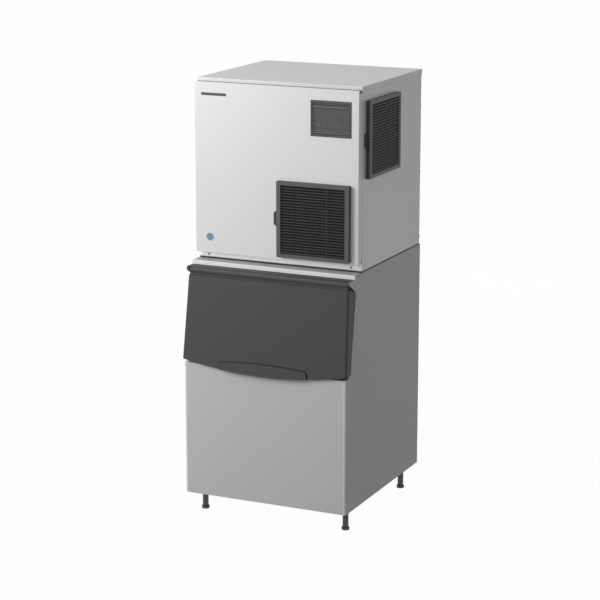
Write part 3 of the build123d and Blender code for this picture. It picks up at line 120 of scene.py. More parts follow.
class MachineColours(bpy.types.PropertyGroup):
    """Colours of the machine's surfaces."""

    front_steel: colour("Ice maker steel", "Satin sheet of the ice maker", (0.72, 0.72, 0.715))
    bin_steel: colour("Bin steel", "Satin sheet of the bin", (0.58, 0.58, 0.58))
    # The deck's colour is darkened to paint the shade that the ice maker casts on the deck's ledge, and the
    # lip colour is lightened to paint the light on the front lip
    deck_steel: colour("Deck steel", "Satin sheet of the bin's deck", (0.40, 0.40, 0.40))
    # Lighter than the front panel's steel: painted light that makes up for the shade the front panel casts on
    # the apron; its higher metallic share reflects the bright floor
    apron: colour("Apron steel", "Brighter sheet below the front panel", (0.90, 0.90, 0.895))
    deck_lip: colour("Deck lip", "Brighter front lip of the deck", (0.86, 0.86, 0.855))
    galvanised: colour("Galvanised steel", "Sheet of the rear and inside", (0.42, 0.43, 0.43))
    door: colour("Door plastic", "Moulded bin door", (0.037, 0.037, 0.038))
    grille: colour("Grille plastic", "Frames of the grilles and the window", (0.074, 0.075, 0.076))
    # The slat colours are lit and shaded copies of the grille plastic: the side grille's slats are painted
    # lighter and the front grille's slats painted darker; the near-black filter colour also paints the shade
    # deep in the grilles
    side_louvre: colour("Side louvre plastic", "Slats of the side grille", (0.088, 0.088, 0.09))
    louvre: colour("Louvre plastic", "Slats of the front grille", (0.032, 0.032, 0.033))
    filter: colour("Filter plastic", "Air filters, fan and the grilles' hollows", (0.013, 0.013, 0.014))
    smoked: colour("Smoked plastic", "Cover of the control window", (0.145, 0.147, 0.149))
    panel: colour("Panel plastic", "Plate behind the control window's cover", (0.135, 0.137, 0.14))
    liner: colour("Liner plastic", "Inside of the bin", (0.72, 0.74, 0.75))
    foam: colour("Foam", "Insulation between shell and liner", (0.70, 0.60, 0.36))
    rubber: colour("Rubber", "Gaskets and mounts", (0.018, 0.018, 0.018))
    enamel: colour("Black enamel", "Compressor and motor housings", (0.018, 0.018, 0.02))
    alloy: colour("Cast alloy", "Gearbox, seal housing and condenser", (0.52, 0.53, 0.54))
    machined: colour("Machined stainless", "Auger, barrel and cutter", (0.55, 0.55, 0.555))
    # Darker than the panels' steel to paint the shade and the dark reflections of the screw heads
    screw: colour("Screw steel", "Panel screws", (0.12, 0.12, 0.122))
    copper: colour("Copper", "Refrigerant pipes", (0.62, 0.29, 0.17))
    brass: colour("Brass", "Water fittings", (0.62, 0.44, 0.18))
    float_body: colour("Float plastic", "Level float", (0.62, 0.22, 0.04))
    disc: colour("Front disc", "Plain round disc low on the front", (0.16, 0.27, 0.40))
    disc_rim: colour("Front disc rim", "Raised rim of the round disc", (0.52, 0.54, 0.56))
    strip: colour("Front strip", "Plain dark strip high on the front", (0.06, 0.06, 0.065))
    leg: colour("Leg paint", "Legs and their feet", (0.035, 0.035, 0.036))
    ridge: colour("Ridge plastic", "Ridges of the control window's cover", (0.17, 0.172, 0.175))


class MachineSizes(bpy.types.PropertyGroup):
    """Sizes of the details that only the finished machine has."""

    sheet_edge: length("Sheet edge", "Rounding of sheet edges", 0.35)
    moulded_edge: length("Moulded edge", "Rounding of moulded edges", 0.8)
    cast_edge: length("Cast edge", "Rounding of cast edges", 1.0)
    fine_edge: length("Fine edge", "Rounding of small parts", 0.25)
    net_pitch: length("Net pitch", "Distance between the filter nets' wires", 1.7)
    net_wire: length("Net wire", "Thickness of the filter nets' wires", 0.75)
    strip_width: length("Strip width", "Length of the front's dark strip", 118.0)
    strip_height: length("Strip height", "Height of the front's dark strip", 12.0)
    strip_inset: length("Strip inset", "From the panel's left edge to the strip", 32.0)
    strip_drop: length("Strip drop", "From the panel's top edge to the strip's middle", 51.0)
    disc_radius: length("Disc radius", "Radius of the front's round disc", 18.0)
    disc_inset: length("Disc inset", "From the panel's left edge to the disc's middle", 68.0)
    disc_rise: length("Disc rise", "From the panel's lower edge to the disc's middle", 69.0)
    screw_radius: length("Screw radius", "Radius of the panel screws' heads", 4.5)
    screw_height: length("Screw height", "Height of the panel screws' heads", 1.6)
    apron_screw_inset: length("Apron screw inset", "From the side to an apron screw", 47.0)
    apron_screw_rise: length("Apron screw rise", "From the base to an apron screw", 16.0)
    side_screw_inset: length("Side screw inset", "From the rear edge to a side screw", 6.0)
    side_screw_rise: length("Side screw rise", "From the base to the lowest side screw", 35.0)
    side_screw_pitch: length("Side screw pitch", "Distance between the side screws", 291.0)
    side_screws: IntProperty(name="Side screws", description="Screws up each side", default=3, min=1)
    fin_pitch: length("Fin pitch", "Distance between the condenser's fins", 3.0)
    fin_depth: length("Fin depth", "Depth of the fins", 12.0)
    fin_thickness: length("Fin thickness", "Thickness of a fin", 0.35)
    foot_radius: length("Foot radius", "Radius of a levelling foot's pad", 17.5)
    foot_height: length("Foot height", "Height of a levelling foot's pad", 14.0)
    stem_radius: length("Stem radius", "Radius over the thread of a foot's stem", 6.0)
    thread_depth: length("Thread depth", "Depth of the threads", 0.6)
    thread_pitch: length("Thread pitch", "Rise of the threads in one turn", 2.0)
    segments: IntProperty(name="Segments", description="Faces round a turned detail", default=32, min=12)


class MachineStage(bpy.types.PropertyGroup):
    """Camera and lamps."""

    azimuth: FloatProperty(
        name="Azimuth", description="Camera's turn to the right of the front", default=math.radians(24.89),
        subtype="ANGLE",
    )
    pitch: FloatProperty(
        name="Pitch", description="Camera's downward tilt", default=math.radians(13.38), subtype="ANGLE"
    )
    lens: FloatProperty(name="Lens", description="Focal length in millimetres", default=124.3)
    place: FloatVectorProperty(
        name="Camera place", description="Where the camera stands", default=(3.7014, -8.0202, 3.0121),
        subtype="TRANSLATION",
    )
    key_power: power("Key lamp", "at the front left", 166.0)
    fill_power: power("Fill lamp", "at the front right", 24.0)
    top_power: power("Top lamp", "above the rear", 13.0)
    side_power: power("Side lamp", "at the right", 12.0)
    back_power: power("Back lamp", "at the rear", 90.0)
    room: FloatProperty(name="Room light", description="Strength of the even light", default=0.11)


# Materials


class Signal:
    """An output of a material's node. Python's arithmetic signs add the nodes that work them out."""

    def __init__(self, finish, socket):
        self.finish = finish
        self.socket = socket

    def work(self, operation, first, second):
        return self.finish.node("Math", {0: first, 1: second}, operation=operation)

    def __add__(self, other):
        return self.work("ADD", self, other)

    def __radd__(self, other):
        return self.work("ADD", other, self)

    def __sub__(self, other):
        return self.work("SUBTRACT", self, other)

    def __mul__(self, other):
        return self.work("MULTIPLY", self, other)

    def __rmul__(self, other):
        return self.work("MULTIPLY", other, self)


class Finish:
    """A material, or a world, that is built node by node around one shader."""

    def __init__(self, made, output="ShaderNodeOutputMaterial"):
        self.made = made
        self.made.use_nodes = True
        self.tree = self.made.node_tree
        self.tree.nodes.clear()
        self.output = self.tree.nodes.new(output)

    @classmethod
    def material(cls, name):
        """Starts a new material."""
        return cls(bpy.data.materials.new(name))

    def node(self, kind, inputs=None, output=0, **settings):
        """Adds a node with its settings and inputs, and gives one of its outputs."""
        made = self.tree.nodes.new("ShaderNode" + kind)
        for name, value in settings.items():
            setattr(made, name, value)
        for name, value in (inputs or {}).items():
            if isinstance(value, Signal):
                self.tree.links.new(value.socket, made.inputs[name])
            else:
                made.inputs[name].default_value = value
        return Signal(self, made.outputs[output])

    def place(self, fineness):
        """The piece's own coordinates, scaled alike or along each axis."""
        scale = fineness if isinstance(fineness, tuple) else (fineness, fineness, fineness)
        own = self.node("TexCoord", output="Object")
        return self.node("Mapping", {"Vector": own, "Scale": scale})

    def noise(self, fineness, detail=3.0, roughness=0.5):
        """Soft noise, its fineness given once or along each axis."""
        inputs = {"Vector": self.place(fineness), "Scale": 1.0, "Detail": detail, "Roughness": roughness}
        return self.node("TexNoise", inputs)

    def cells(self, fineness):
        """Grey level of crystal-like cells."""
        inputs = {"Vector": self.place(fineness), "Scale": 1.0}
        return self.node("TexVoronoi", inputs, "Color", feature="SMOOTH_F1")

    def blend(self, share, first, second):
        """A mix of two colours, each plain or worked out by nodes."""
        first, second = (tone if isinstance(tone, Signal) else (*tone, 1.0) for tone in (first, second))
        return self.node("Mix", {0: share, 6: first, 7: second}, 2, data_type="RGBA")

    def tint(self, share, base, spread):
        """A drift between a darker and a lighter version of a colour."""
        dark = [max(0.0, level * (1.0 - spread)) for level in base]
        light = [min(1.0, level * (1.0 + spread)) for level in base]
        return self.blend(share, dark, light)

    def fade(self, axis, level, full, gone):
        """1 within some millimetres of a level of one of the piece's own coordinates, 0 further away."""
        own = self.node("TexCoord", output="Object")
        along = self.node("SeparateXYZ", {"Vector": own}, axis)
        away = self.node("Math", {0: along - level}, operation="ABSOLUTE")
        inputs = {"Value": away, "From Min": full * MM, "From Max": gone * MM, "To Min": 1.0, "To Max": 0.0}
        return self.node("MapRange", inputs)

    def seen(self):
        """1 for camera, glossy and transmission rays, and 0 for the rest."""
        kinds = ("Camera", "Glossy", "Transmission")
        seen, glossy, through = (self.node("LightPath", output=f"Is {kind} Ray") for kind in kinds)
        return seen + glossy + through

    def bump(self, height, distance, strength):
        """Fine relief from a height pattern, its depth in millimetres."""
        return self.node("Bump", {"Height": height, "Distance": distance * MM, "Strength": strength})

    def surface(self, **inputs):
        """Ends the material with its shader. An underscore in a name stands for a space."""
        named = {name.replace("_", " "): value for name, value in inputs.items()}
        return self.end(self.node("BsdfPrincipled", named))

    def end(self, shader):
        """Links a shader to the output."""
        self.tree.links.new(shader.socket, self.output.inputs["Surface"])
        return self.made


def satin_steel(name, base, roughness, metallic, lip=None, bend=0.0):
    """Stainless sheet with a fine level grain and cloudy patches; painted shade along the seam between the
    ice maker and the bin, or, where a lip colour is given, painted light on the deck's front lip in its
    place; and a painted highlight along the bin's upright corners.
    """
    finish = Finish.material(name)
    grain = finish.noise((14.0, 14.0, 2600.0), detail=4.0, roughness=0.6)
    cloud = finish.noise(2.2, detail=2.0)
    tone = finish.tint(0.65 * grain + 0.35 * cloud, base, 0.045)
    # Painted light and shade: within about 8 to 10 mm of the deck's front the lip gets the lighter lip
    # colour, while the ledge behind keeps the darker deck colour
    if lip:
        tone = finish.blend(finish.fade(Y, DECK_FRONT, 8, 10), tone, lip)
    else:
        # Painted shade: the sheet turns near black within a few millimetres of the seam between the ice maker
        # and the bin
        tone = finish.blend(0.8 * finish.fade(Z, SEAM_HEIGHT, 3, 7), tone, SEAM_SHADE)
    # Painted highlight: a band within about 12 mm of the bin's sides is blended towards white, where the
    # rounded corners catch the light
    if bend:
        sides = (-BIN_SIDE, BIN_SIDE)
        left, right = (finish.fade(X, side, 11, 12) - finish.fade(X, side, 0.2, 0.6) for side in sides)
        tone = finish.blend(bend * (left + right), tone, WHITE)
    return finish.surface(
        Base_Color=tone, Roughness=roughness - 0.06 + 0.09 * grain + 0.03 * cloud, Metallic=metallic,
        Specular_IOR_Level=0.22, Normal=finish.bump(grain, 0.04, 0.35),
    )


def zinc_sheet(name, base):
    """Galvanised sheet with its crystal pattern."""
    finish = Finish.material(name)
    crystals = finish.cells(70.0)
    grain = finish.noise(400.0)
    tone = finish.tint(0.7 * crystals + 0.3 * grain, base, 0.16)
    relief = finish.bump(grain, 0.03, 0.3)
    return finish.surface(Base_Color=tone, Roughness=0.36 + 0.14 * crystals, Metallic=0.55, Normal=relief)


def moulded_plastic(name, base, roughness=0.5, grain_size=0.9, relief=0.08, spread=0.06, gloss=0.5):
    """Moulded plastic with a fine spark-eroded grain and a faint drift of shade."""
    finish = Finish.material(name)
    grain = finish.noise(1.0 / (grain_size * MM), detail=2.0, roughness=0.6)
    cloud = finish.noise(5.0, detail=2.0)
    tone = finish.tint(0.5 * grain + 0.5 * cloud, base, spread)
    rough = roughness - 0.05 + 0.1 * grain
    return finish.surface(
        Base_Color=tone, Roughness=rough, Specular_IOR_Level=gloss, Normal=finish.bump(grain, relief, 0.5)
    )


def louvre_plastic(name, slat, inside, face):
    """Grained plastic of the grilles with painted light and shade: the outer face painted lightest, the
    slats' front edges lighter, and the deeper slats and the rib behind the front edges painted dark as shade.
    """
    finish = Finish.material(name)
    grain = finish.noise(1100.0, detail=2.0, roughness=0.6)
    # Painted light: within 1.5 mm of the grilles' front planes the outer face takes the lightest colour
    lit_face = finish.fade(Y, GRILLE_FRONT, 1, 1.5) + finish.fade(X, GRILLE_SIDE, 1, 1.5)
    # Painted shade: the slats keep their colour only within 7.5 mm of the front, everything deeper takes the
    # near-black inside colour, and the rib just behind the front edges is painted dark too
    front_slats = finish.fade(Y, GRILLE_FRONT, 4, 7.5)
    behind_edge = front_slats - finish.fade(Y, GRILLE_FRONT, 2, 3)
    rib_shade = finish.fade(X, GRILLE_RIB, 1.8, 2.5) * behind_edge
    near = front_slats - rib_shade + finish.fade(X, GRILLE_SIDE, 4, 7.5)
    inside, slat, face = (finish.tint(grain, base, 0.06) for base in (inside, slat, face))
    tone = finish.blend(lit_face, finish.blend(near, inside, slat), face)
    return finish.surface(Base_Color=tone, Roughness=0.45 + 0.1 * grain, Normal=finish.bump(grain, 0.08, 0.5))


def smoked_plastic(name, base):
    """Tinted glossy cover that what lies behind it shows through."""
    finish = Finish.material(name)
    cloud = finish.noise(9.0, detail=1.0)
    tone = finish.tint(cloud, base, 0.1)
    return finish.surface(Base_Color=tone, Roughness=0.16 + 0.06 * cloud, Alpha=0.5)


def soft_rubber(name, base):
    """Matt rubber with a dusty bloom."""
    finish = Finish.material(name)
    grain = finish.noise(700.0)
    tone = finish.tint(finish.noise(12.0), base, 0.25)
    relief = finish.bump(grain, 0.06, 0.5)
    return finish.surface(Base_Color=tone, Roughness=0.72 + 0.12 * grain, Normal=relief)


def black_enamel(name, base):
    """Sprayed enamel with a slight orange-peel skin."""
    finish = Finish.material(name)
    peel = finish.noise(260.0, detail=1.0)
    tone = finish.tint(peel, base, 0.12)
    relief = finish.bump(peel, 0.12, 0.35)
    return finish.surface(Base_Color=tone, Roughness=0.34 + 0.08 * peel, Coat_Weight=0.3, Normal=relief)


def foam_block(name, base):
    """Sprayed foam with small open cells."""
    finish = Finish.material(name)
    pores = finish.cells(320.0)
    tone = finish.tint(0.6 * pores + 0.4 * finish.noise(10.0), base, 0.14)
    return finish.surface(Base_Color=tone, Roughness=0.9, Normal=finish.bump(pores, 0.6, 0.6))


def cast_metal(name, base):
    """Sand-cast metal with a pitted skin."""
    finish = Finish.material(name)
    pits = finish.noise(520.0, detail=4.0, roughness=0.65)
    tone = finish.tint(0.5 * pits + 0.5 * finish.noise(18.0), base, 0.12)
    relief = finish.bump(pits, 0.2, 0.5)
    return finish.surface(Base_Color=tone, Roughness=0.42 + 0.15 * pits, Metallic=0.7, Normal=relief)


def turned_metal(name, base, metallic=0.85, roughness=0.28):
    """Turned or drawn metal with fine rings and a slightly tarnished tone."""
    finish = Finish.material(name)
    rings = finish.noise((60.0, 60.0, 3200.0))
    tarnish = finish.noise(26.0, detail=4.0)
    tone = finish.tint(0.35 * rings + 0.65 * tarnish, base, 0.14)
    rough = roughness + 0.1 * tarnish
    relief = finish.bump(rings, 0.03, 0.3)
    return finish.surface(Base_Color=tone, Roughness=rough, Metallic=metallic, Normal=relief)


def flat_enamel(name, base, roughness=0.4):
    """Thin printed or enamelled layer with a faint drift of shade."""
    finish = Finish.material(name)
    grain = finish.noise(900.0, detail=2.0)
    return finish.surface(Base_Color=finish.tint(grain, base, 0.07), Roughness=roughness + 0.05 * grain)


materials = {}
FINISHES = {
    "front_steel": (satin_steel, {"roughness": 0.40, "metallic": 0.20}),
    "bin_steel": (satin_steel, {"roughness": 0.40, "metallic": 0.04, "bend": 0.4}),
    "deck_steel": (satin_steel, {"roughness": 0.40, "metallic": 0.12, "lip": "deck_lip"}),
    "apron": (satin_steel, {"roughness": 0.36, "metallic": 0.4}),
    "galvanised": (zinc_sheet, {}),
    "door": (moulded_plastic, {"roughness": 0.58, "grain_size": 1.1, "relief": 0.09, "gloss": 0.4}),
    "grille": (moulded_plastic, {}),
    "louvre": (louvre_plastic, {"inside": "filter", "face": "grille"}),
    "side_louvre": (louvre_plastic, {"inside": "filter", "face": "grille"}),
    "filter": (moulded_plastic, {"roughness": 0.6}),
    "smoked": (smoked_plastic, {}),
    "liner": (moulded_plastic, {"roughness": 0.38, "grain_size": 2.0, "relief": 0.05, "spread": 0.025}),
    "foam": (foam_block, {}),
    "rubber": (soft_rubber, {}),
    "enamel": (black_enamel, {}),
    "alloy": (cast_metal, {}),
    "machined": (turned_metal, {}),
    "screw": (turned_metal, {"metallic": 0.5, "roughness": 0.4}),
    "copper": (turned_metal, {"metallic": 0.9, "roughness": 0.3}),
    "brass": (turned_metal, {"metallic": 0.9, "roughness": 0.26}),
    "float_body": (moulded_plastic, {"roughness": 0.42, "grain_size": 1.5, "relief": 0.04}),
    "panel": (moulded_plastic, {}),
    "ridge": (moulded_plastic, {"roughness": 0.4}),
    "leg": (black_enamel, {}),
    "disc": (flat_enamel, {}),
    "disc_rim": (flat_enamel, {"roughness": 0.3}),
    "strip": (flat_enamel, {}),
}
SLOT_FINISH = {
    "dark_plastic": "grille",
    "filter_plastic": "filter",
    "fan_plastic": "filter",
    "smoked_plastic": "smoked",
    "panel_plastic": "panel",
    "liner_plastic": "liner",
    "float_plastic": "float_body",
    "black_enamel": "enamel",
    "stainless": "machined",
}
DOOR_PARTS = ("bin_door", "door_inner_panel", "hinge_bushes")
FEET = ("foot_front_left", "foot_front_right", "foot_back_left", "foot_back_right")
NODE_FINISH = {
    "bin_deck": "deck_steel",
    "maker_base_pan": "apron",
    "front_grille": "louvre",
    "side_grille": "side_louvre",
    **{node: "door" for node in DOOR_PARTS},
    **{node: "leg" for node in ("legs", *FEET)},
}
NODE_SLOT = {part["node"]: part["material_slot"] for part in frame["record"]["subparts"]}
NODE_BODY = {node: body for body, nodes in frame["record"]["behaviour"]["bodies"].items() for node in nodes}


def mix_materials(colours):
    """Makes every finish of the machine once. A value that is a colour's name stands for that colour."""
    for name, (mix, values) in FINISHES.items():
        values = {key: getattr(colours, str(value), value) for key, value in values.items()}
        materials[name] = mix(name + "_finish", getattr(colours, name), **values)


def finish_of(node):
    """The name of the finish that a node gets: its own, or else its slot's."""
    slot = NODE_SLOT[node]
    return NODE_FINISH.get(node, SLOT_FINISH.get(slot, slot))


# Shapes


def merged(node):
    """A copy of a node's shape, its triangles joined into whole faces."""
    shape = bmesh.new()
    shape.from_mesh(frame["nodes"][node].data)
    bmesh.ops.remove_doubles(shape, verts=shape.verts, dist=MERGE_DISTANCE)
    bmesh.ops.dissolve_limit(shape, angle_limit=FLAT_ANGLE, verts=shape.verts, edges=shape.edges)
    return shape


def round_edges(shape, radius):
    """Rounds the sharp edges of a shape."""
    edges = [edge for edge in shape.edges if edge.is_manifold and edge.calc_face_angle() > EDGE_ANGLE]
    bmesh.ops.bevel(
        shape, geom=edges, offset=radius, segments=2, profile=0.5, affect="EDGES",
        clamp_overlap=True, material=-1,
    )


def add_piece(name, shape, finish, body="cabinet", stands_for=()):
    """Turns a shape into a piece of the machine that rides on one of its bodies."""
    mesh = as_mesh(shape, name)
    mesh.materials.append(materials[finish])
    mesh.shade_smooth()
    mesh.set_sharp_from_angle(angle=SHARP_ANGLE)
    piece = bpy.data.objects.new(name, mesh)
    bpy.context.scene.collection.objects.link(piece)
    weighted = piece.modifiers.new("even_faces", "WEIGHTED_NORMAL")
    weighted.keep_sharp = True
    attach(piece, body)
    if stands_for:
        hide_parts(*stands_for)
    return piece


def refine(node, radius, shape=None):
    """Stands a softened copy of a node in its place."""
    shape = shape or merged(node)
    round_edges(shape, radius)
    return stand_in(node, shape)


def stand_in(node, shape):
    """Stands a shape in a node's place, with the node's finish and body."""
    return add_piece(
        node + "_finished", shape, finish_of(node), NODE_BODY[node], (node,)
    )


def bar(shape, low, high):
    """Adds a straight bar between two corners."""
    low = Vector(low)
    high = Vector(high)
    middle = Matrix.Translation((low + high) / 2)
    stretch = Matrix.Diagonal((*(high - low), 1.0))
    return bmesh.ops.create_cube(shape, size=1.0, matrix=middle @ stretch)["verts"]


def box_shape(low, high):
    """A shape that is one straight bar."""
    shape = bmesh.new()
    bar(shape, low, high)
    return shape


def facing(direction, place):
    """Places a shape that was drawn along its own +Z so that it faces a direction."""
    turn = Vector(direction).to_track_quat("Z", "Y").to_matrix().to_4x4()
    return Matrix.Translation(place) @ turn


def settle(shape, before, place):
    """Closes what was added to a shape, turns it right side out and puts it in its place."""
    made = [vert for vert in shape.verts if vert not in before]
    bmesh.ops.remove_doubles(shape, verts=made, dist=MERGE_DISTANCE)
    made = [vert for vert in shape.verts if vert not in before]
    bmesh.ops.transform(shape, matrix=place, verts=made)
    faces = {face for vert in made for face in vert.link_faces}
    bmesh.ops.recalc_face_normals(shape, faces=list(faces))


def turned(shape, outline, place, steps, ring=False):
    """Turns an outline of radii and heights in millimetres about its own +Z."""
    before = set(shape.verts)
    points = [shape.verts.new((radius * MM, 0.0, height * MM)) for radius, height in outline]
    ends = points[1:] + points[:1] if ring else points[1:]
    edges = [shape.edges.new(pair) for pair in zip(points, ends)]
    bmesh.ops.spin(
        shape, geom=points + edges, cent=(0, 0, 0), axis=(0, 0, 1), angle=math.tau, steps=steps,
        use_merge=True,
    )
    settle(shape, before, place)
    return shape


def wind_thread(shape, radius, low, high, place, sizes):
    """Winds a V thread round its own +Z, between two heights."""
    before = set(shape.verts)
    pitch = sizes.thread_pitch
    root = radius - sizes.thread_depth * 1.3
    half = pitch * 0.46
    corners = [(root, 0.0), (radius, half), (root, 2 * half)]
    points = [shape.verts.new((reach, 0.0, low + rise)) for reach, rise in corners]
    face = shape.faces.new(points)
    turns = int((high - low - 2 * half) / pitch)
    steps = turns * sizes.segments
    bmesh.ops.spin(
        shape, geom=[face, *face.edges, *points], cent=(0, 0, 0), axis=(0, 0, 1),
        dvec=(0, 0, pitch / sizes.segments), angle=math.tau * turns, steps=steps,
    )
    settle(shape, before, place)


def thicken(shape, height, place):
    """Gives a flat shape a thickness along its own +Z and puts it in its place."""
    raised = bmesh.ops.extrude_face_region(shape, geom=shape.faces[:])["geom"]
    verts = [part for part in raised if isinstance(part, bmesh.types.BMVert)]
    bmesh.ops.translate(shape, verts=verts, vec=(0, 0, height))
    bmesh.ops.transform(shape, matrix=place, verts=shape.verts)
    bmesh.ops.recalc_face_normals(shape, faces=shape.faces)


def cut_away(shape, tool):
    """Takes one closed shape out of another."""
    holders = []
    for part in (shape, tool):
        holder = bpy.data.objects.new("cutting", as_mesh(part, "cutting"))
        bpy.context.scene.collection.objects.link(holder)
        holders.append(holder)
    cutting = holders[0].modifiers.new("cut", "BOOLEAN")
    cutting.object = holders[1]
    cutting.operation = "DIFFERENCE"
    cutting.solver = "EXACT"
    seen = holders[0].evaluated_get(bpy.context.evaluated_depsgraph_get())
    result = bmesh.new()
    result.from_mesh(seen.to_mesh())
    for holder in holders:
        bpy.data.meshes.remove(holder.data)
    return result


def stamped(pattern, places):
    """A shape that is a copy of a pattern at each place."""
    shape = bmesh.new()
    for place in places:
        stamp = pattern.copy()
        stamp.transform(place)
        shape.from_mesh(stamp)
        bpy.data.meshes.remove(stamp)
    bpy.data.meshes.remove(pattern)
    return shape


def as_mesh(shape, name):
    """Keeps a shape as mesh data."""
    mesh = bpy.data.meshes.new(name)
    shape.to_mesh(mesh)
    shape.free()
    return mesh


def screw_head(sizes):
    """A pan head with a cross recess that faces its own +Z."""
    radius = sizes.screw_radius / MM
    height = sizes.screw_height / MM
    outline = [
        (0, 0), (radius, 0), (radius, 0.35 * height), (0.86 * radius, 0.8 * height), (0.6 * radius, height),
        (0, height),
    ]
    shape = turned(bmesh.new(), outline, Matrix(), sizes.segments)
    reach, half = (share * sizes.screw_radius for share in (0.55, 0.13))
    low, high = (share * sizes.screw_height for share in (0.35, 2))
    shape = cut_away(shape, box_shape((-reach, -half, low), (reach, half, high)))
    return as_mesh(cut_away(shape, box_shape((-half, -reach, low), (half, reach, high))), "screw_head")


# Pieces


class ICE_OT_finishes(bpy.types.Operator):
    """Mixes the machine's finishes and gives every CAD node its own"""

    bl_idname = "ice.finishes"
    bl_label = "Finishes"

    def execute(self, context):
        mix_materials(context.scene.ice_colours)
        for node, piece in frame["nodes"].items():
            piece.data.materials.clear()
            piece.data.materials.append(materials[finish_of(node)])
        return {"FINISHED"}


class ICE_OT_steel_panels(bpy.types.Operator):
    """Softens the ice maker's sheet panels"""

    bl_idname = "ice.steel_panels"
    bl_label = "Ice maker panels"

    def execute(self, context):
        sizes = context.scene.ice_sizes
        panels = (
            "front_panel", "top_panel", "maker_base_pan", "right_side_panel", "left_side_panel", "rear_panel",
            "control_box", "fan_shroud", "casing_frame",
        )
        for node in panels:
            refine(node, sizes.sheet_edge)
        self.add_seal(sizes)
        return {"FINISHED"}

    def add_seal(self, sizes):
        """A dark rubber strip in the gap between the front panel's top hem and the body, standing in for the
        shade in that gap.
        """
        low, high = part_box("front_panel")
        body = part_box("top_panel")[0].y
        end_gap, hem_depth, hem_height, back_gap, top_gap = metres(2, 9.2, 8, 0.3, 1.5)
        # Painted shade: the near-black strip fills the gap so that it looks dark
        seal = box_shape(
            (low.x + end_gap, low.y + hem_depth, high.z - hem_height),
            (high.x - end_gap, body - back_gap, high.z - top_gap),
        )
        round_edges(seal, sizes.fine_edge)
        add_piece("front_panel_seal", seal, "rubber")


class ICE_OT_screws(bpy.types.Operator):
    """Sets the screws with their cross recesses and the rivets of the hinge noses"""

    bl_idname = "ice.screws"
    bl_label = "Screws and rivets"

    def execute(self, context):
        sizes = context.scene.ice_sizes
        side_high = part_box("right_side_panel")[1]
        base_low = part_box("maker_base_pan")[0]
        places = []
        for side in (-1, 1):
            apron_x = side * (side_high.x - sizes.apron_screw_inset)
            places.append(facing(FORWARDS, (apron_x, base_low.y, base_low.z + sizes.apron_screw_rise)))
            for number in range(sizes.side_screws):
                height = base_low.z + sizes.side_screw_rise + number * sizes.side_screw_pitch
                place = (side * side_high.x, side_high.y - sizes.side_screw_inset, height)
                places.append(facing((side, 0, 0), place))
        heads = stamped(screw_head(sizes), places)
        add_piece("panel_screws_finished", heads, "screw", stands_for=("panel_screws",))
        rear_low, rear_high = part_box("rear_panel")
        bin_low, bin_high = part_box("bin_back_panel")
        inset = 12 * MM
        places = []
        for x in (rear_low.x + inset, 0.0, rear_high.x - inset):
            for z in (rear_low.z + inset, rear_high.z - inset):
                places.append(facing(BACKWARDS, (x, rear_high.y, z)))
            for z in (bin_low.z + inset, bin_high.z - inset):
                places.append(facing(BACKWARDS, (x, bin_high.y, z)))
        add_piece("rear_screws", stamped(screw_head(sizes), places), "machined")
        self.add_rivets(sizes)
        return {"FINISHED"}

    def add_rivets(self, sizes):
        """Flat rivets at the roots of the hinge noses, where the bushes are fixed."""
        low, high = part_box("bin_shell")
        setback, drop = metres(121, 50)
        outline = [(0, -0.3), (4, -0.3), (4, 0.3), (3, 0.8), (0, 0.9)]
        shape = bmesh.new()
        for side in (-1, 1):
            place = facing((side, 0, 0), (side * high.x, low.y + setback, high.z - drop))
            turned(shape, outline, place, sizes.segments)
        add_piece("nose_rivets", shape, "machined")


class ICE_OT_front_marks(bpy.types.Operator):
    """Adds the bare dark strip and the plain round disc of the front panel"""

    bl_idname = "ice.front_marks"
    bl_label = "Front strip and disc"

    def execute(self, context):
        sizes = context.scene.ice_sizes
        low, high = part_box("front_panel")
        left = low.x + sizes.strip_inset
        middle = high.z - sizes.strip_drop
        half = sizes.strip_height / 2
        proud, sunk = metres(0.5, 0.1)
        strip = box_shape(
            (left, low.y - proud, middle - half), (left + sizes.strip_width, low.y + sunk, middle + half)
        )
        round_edges(strip, sizes.fine_edge)
        add_piece("front_strip", strip, "strip")
        radius = sizes.disc_radius / MM
        place = facing(FORWARDS, (low.x + sizes.disc_inset, low.y, low.z + sizes.disc_rise))
        inner = radius * 0.82
        steps = 2 * sizes.segments
        outline = [
            (inner, -0.1), (radius, -0.1), (radius, 1.0), (radius - 0.6, 1.5), (inner + 0.5, 1.5),
            (inner, 1.0),
        ]
        rim = turned(bmesh.new(), outline, place, steps, ring=True)
        add_piece("front_disc_rim", rim, "disc_rim")
        outline = [(0, -0.1), (inner + 0.1, -0.1), (inner + 0.1, 0.7), (0, 1.1)]
        face = turned(bmesh.new(), outline, place, steps)
        add_piece("front_disc", face, "disc")
        return {"FINISHED"}


class ICE_OT_bin_body(bpy.types.Operator):
    """Softens the storage bin's shell, deck, back, liner and mouth"""

    bl_idname = "ice.bin_body"
    bl_label = "Storage bin"

    def execute(self, context):
        sizes = context.scene.ice_sizes
        for node in ("bin_shell", "bin_deck", "bin_back_panel", "bin_floor_pan"):
            refine(node, sizes.sheet_edge)
        for node in ("mouth_trim", "bin_liner", "door_gasket"):
            refine(node, sizes.moulded_edge)
        self.add_sill()
        return {"FINISHED"}

    def add_sill(self):
        """A steel strip that closes the foam between the front sheet's return and the mouth trim."""
        low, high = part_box("mouth_trim")
        fold, overlap, depth, gap = metres(8, 1, 1.2, 0.25)
        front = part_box("bin_shell")[0].y + fold
        strip = box_shape(
            (low.x - overlap, front, low.z - depth), (high.x + overlap, low.y + overlap, low.z - gap)
        )
        add_piece("sill_strip", strip, "bin_steel")


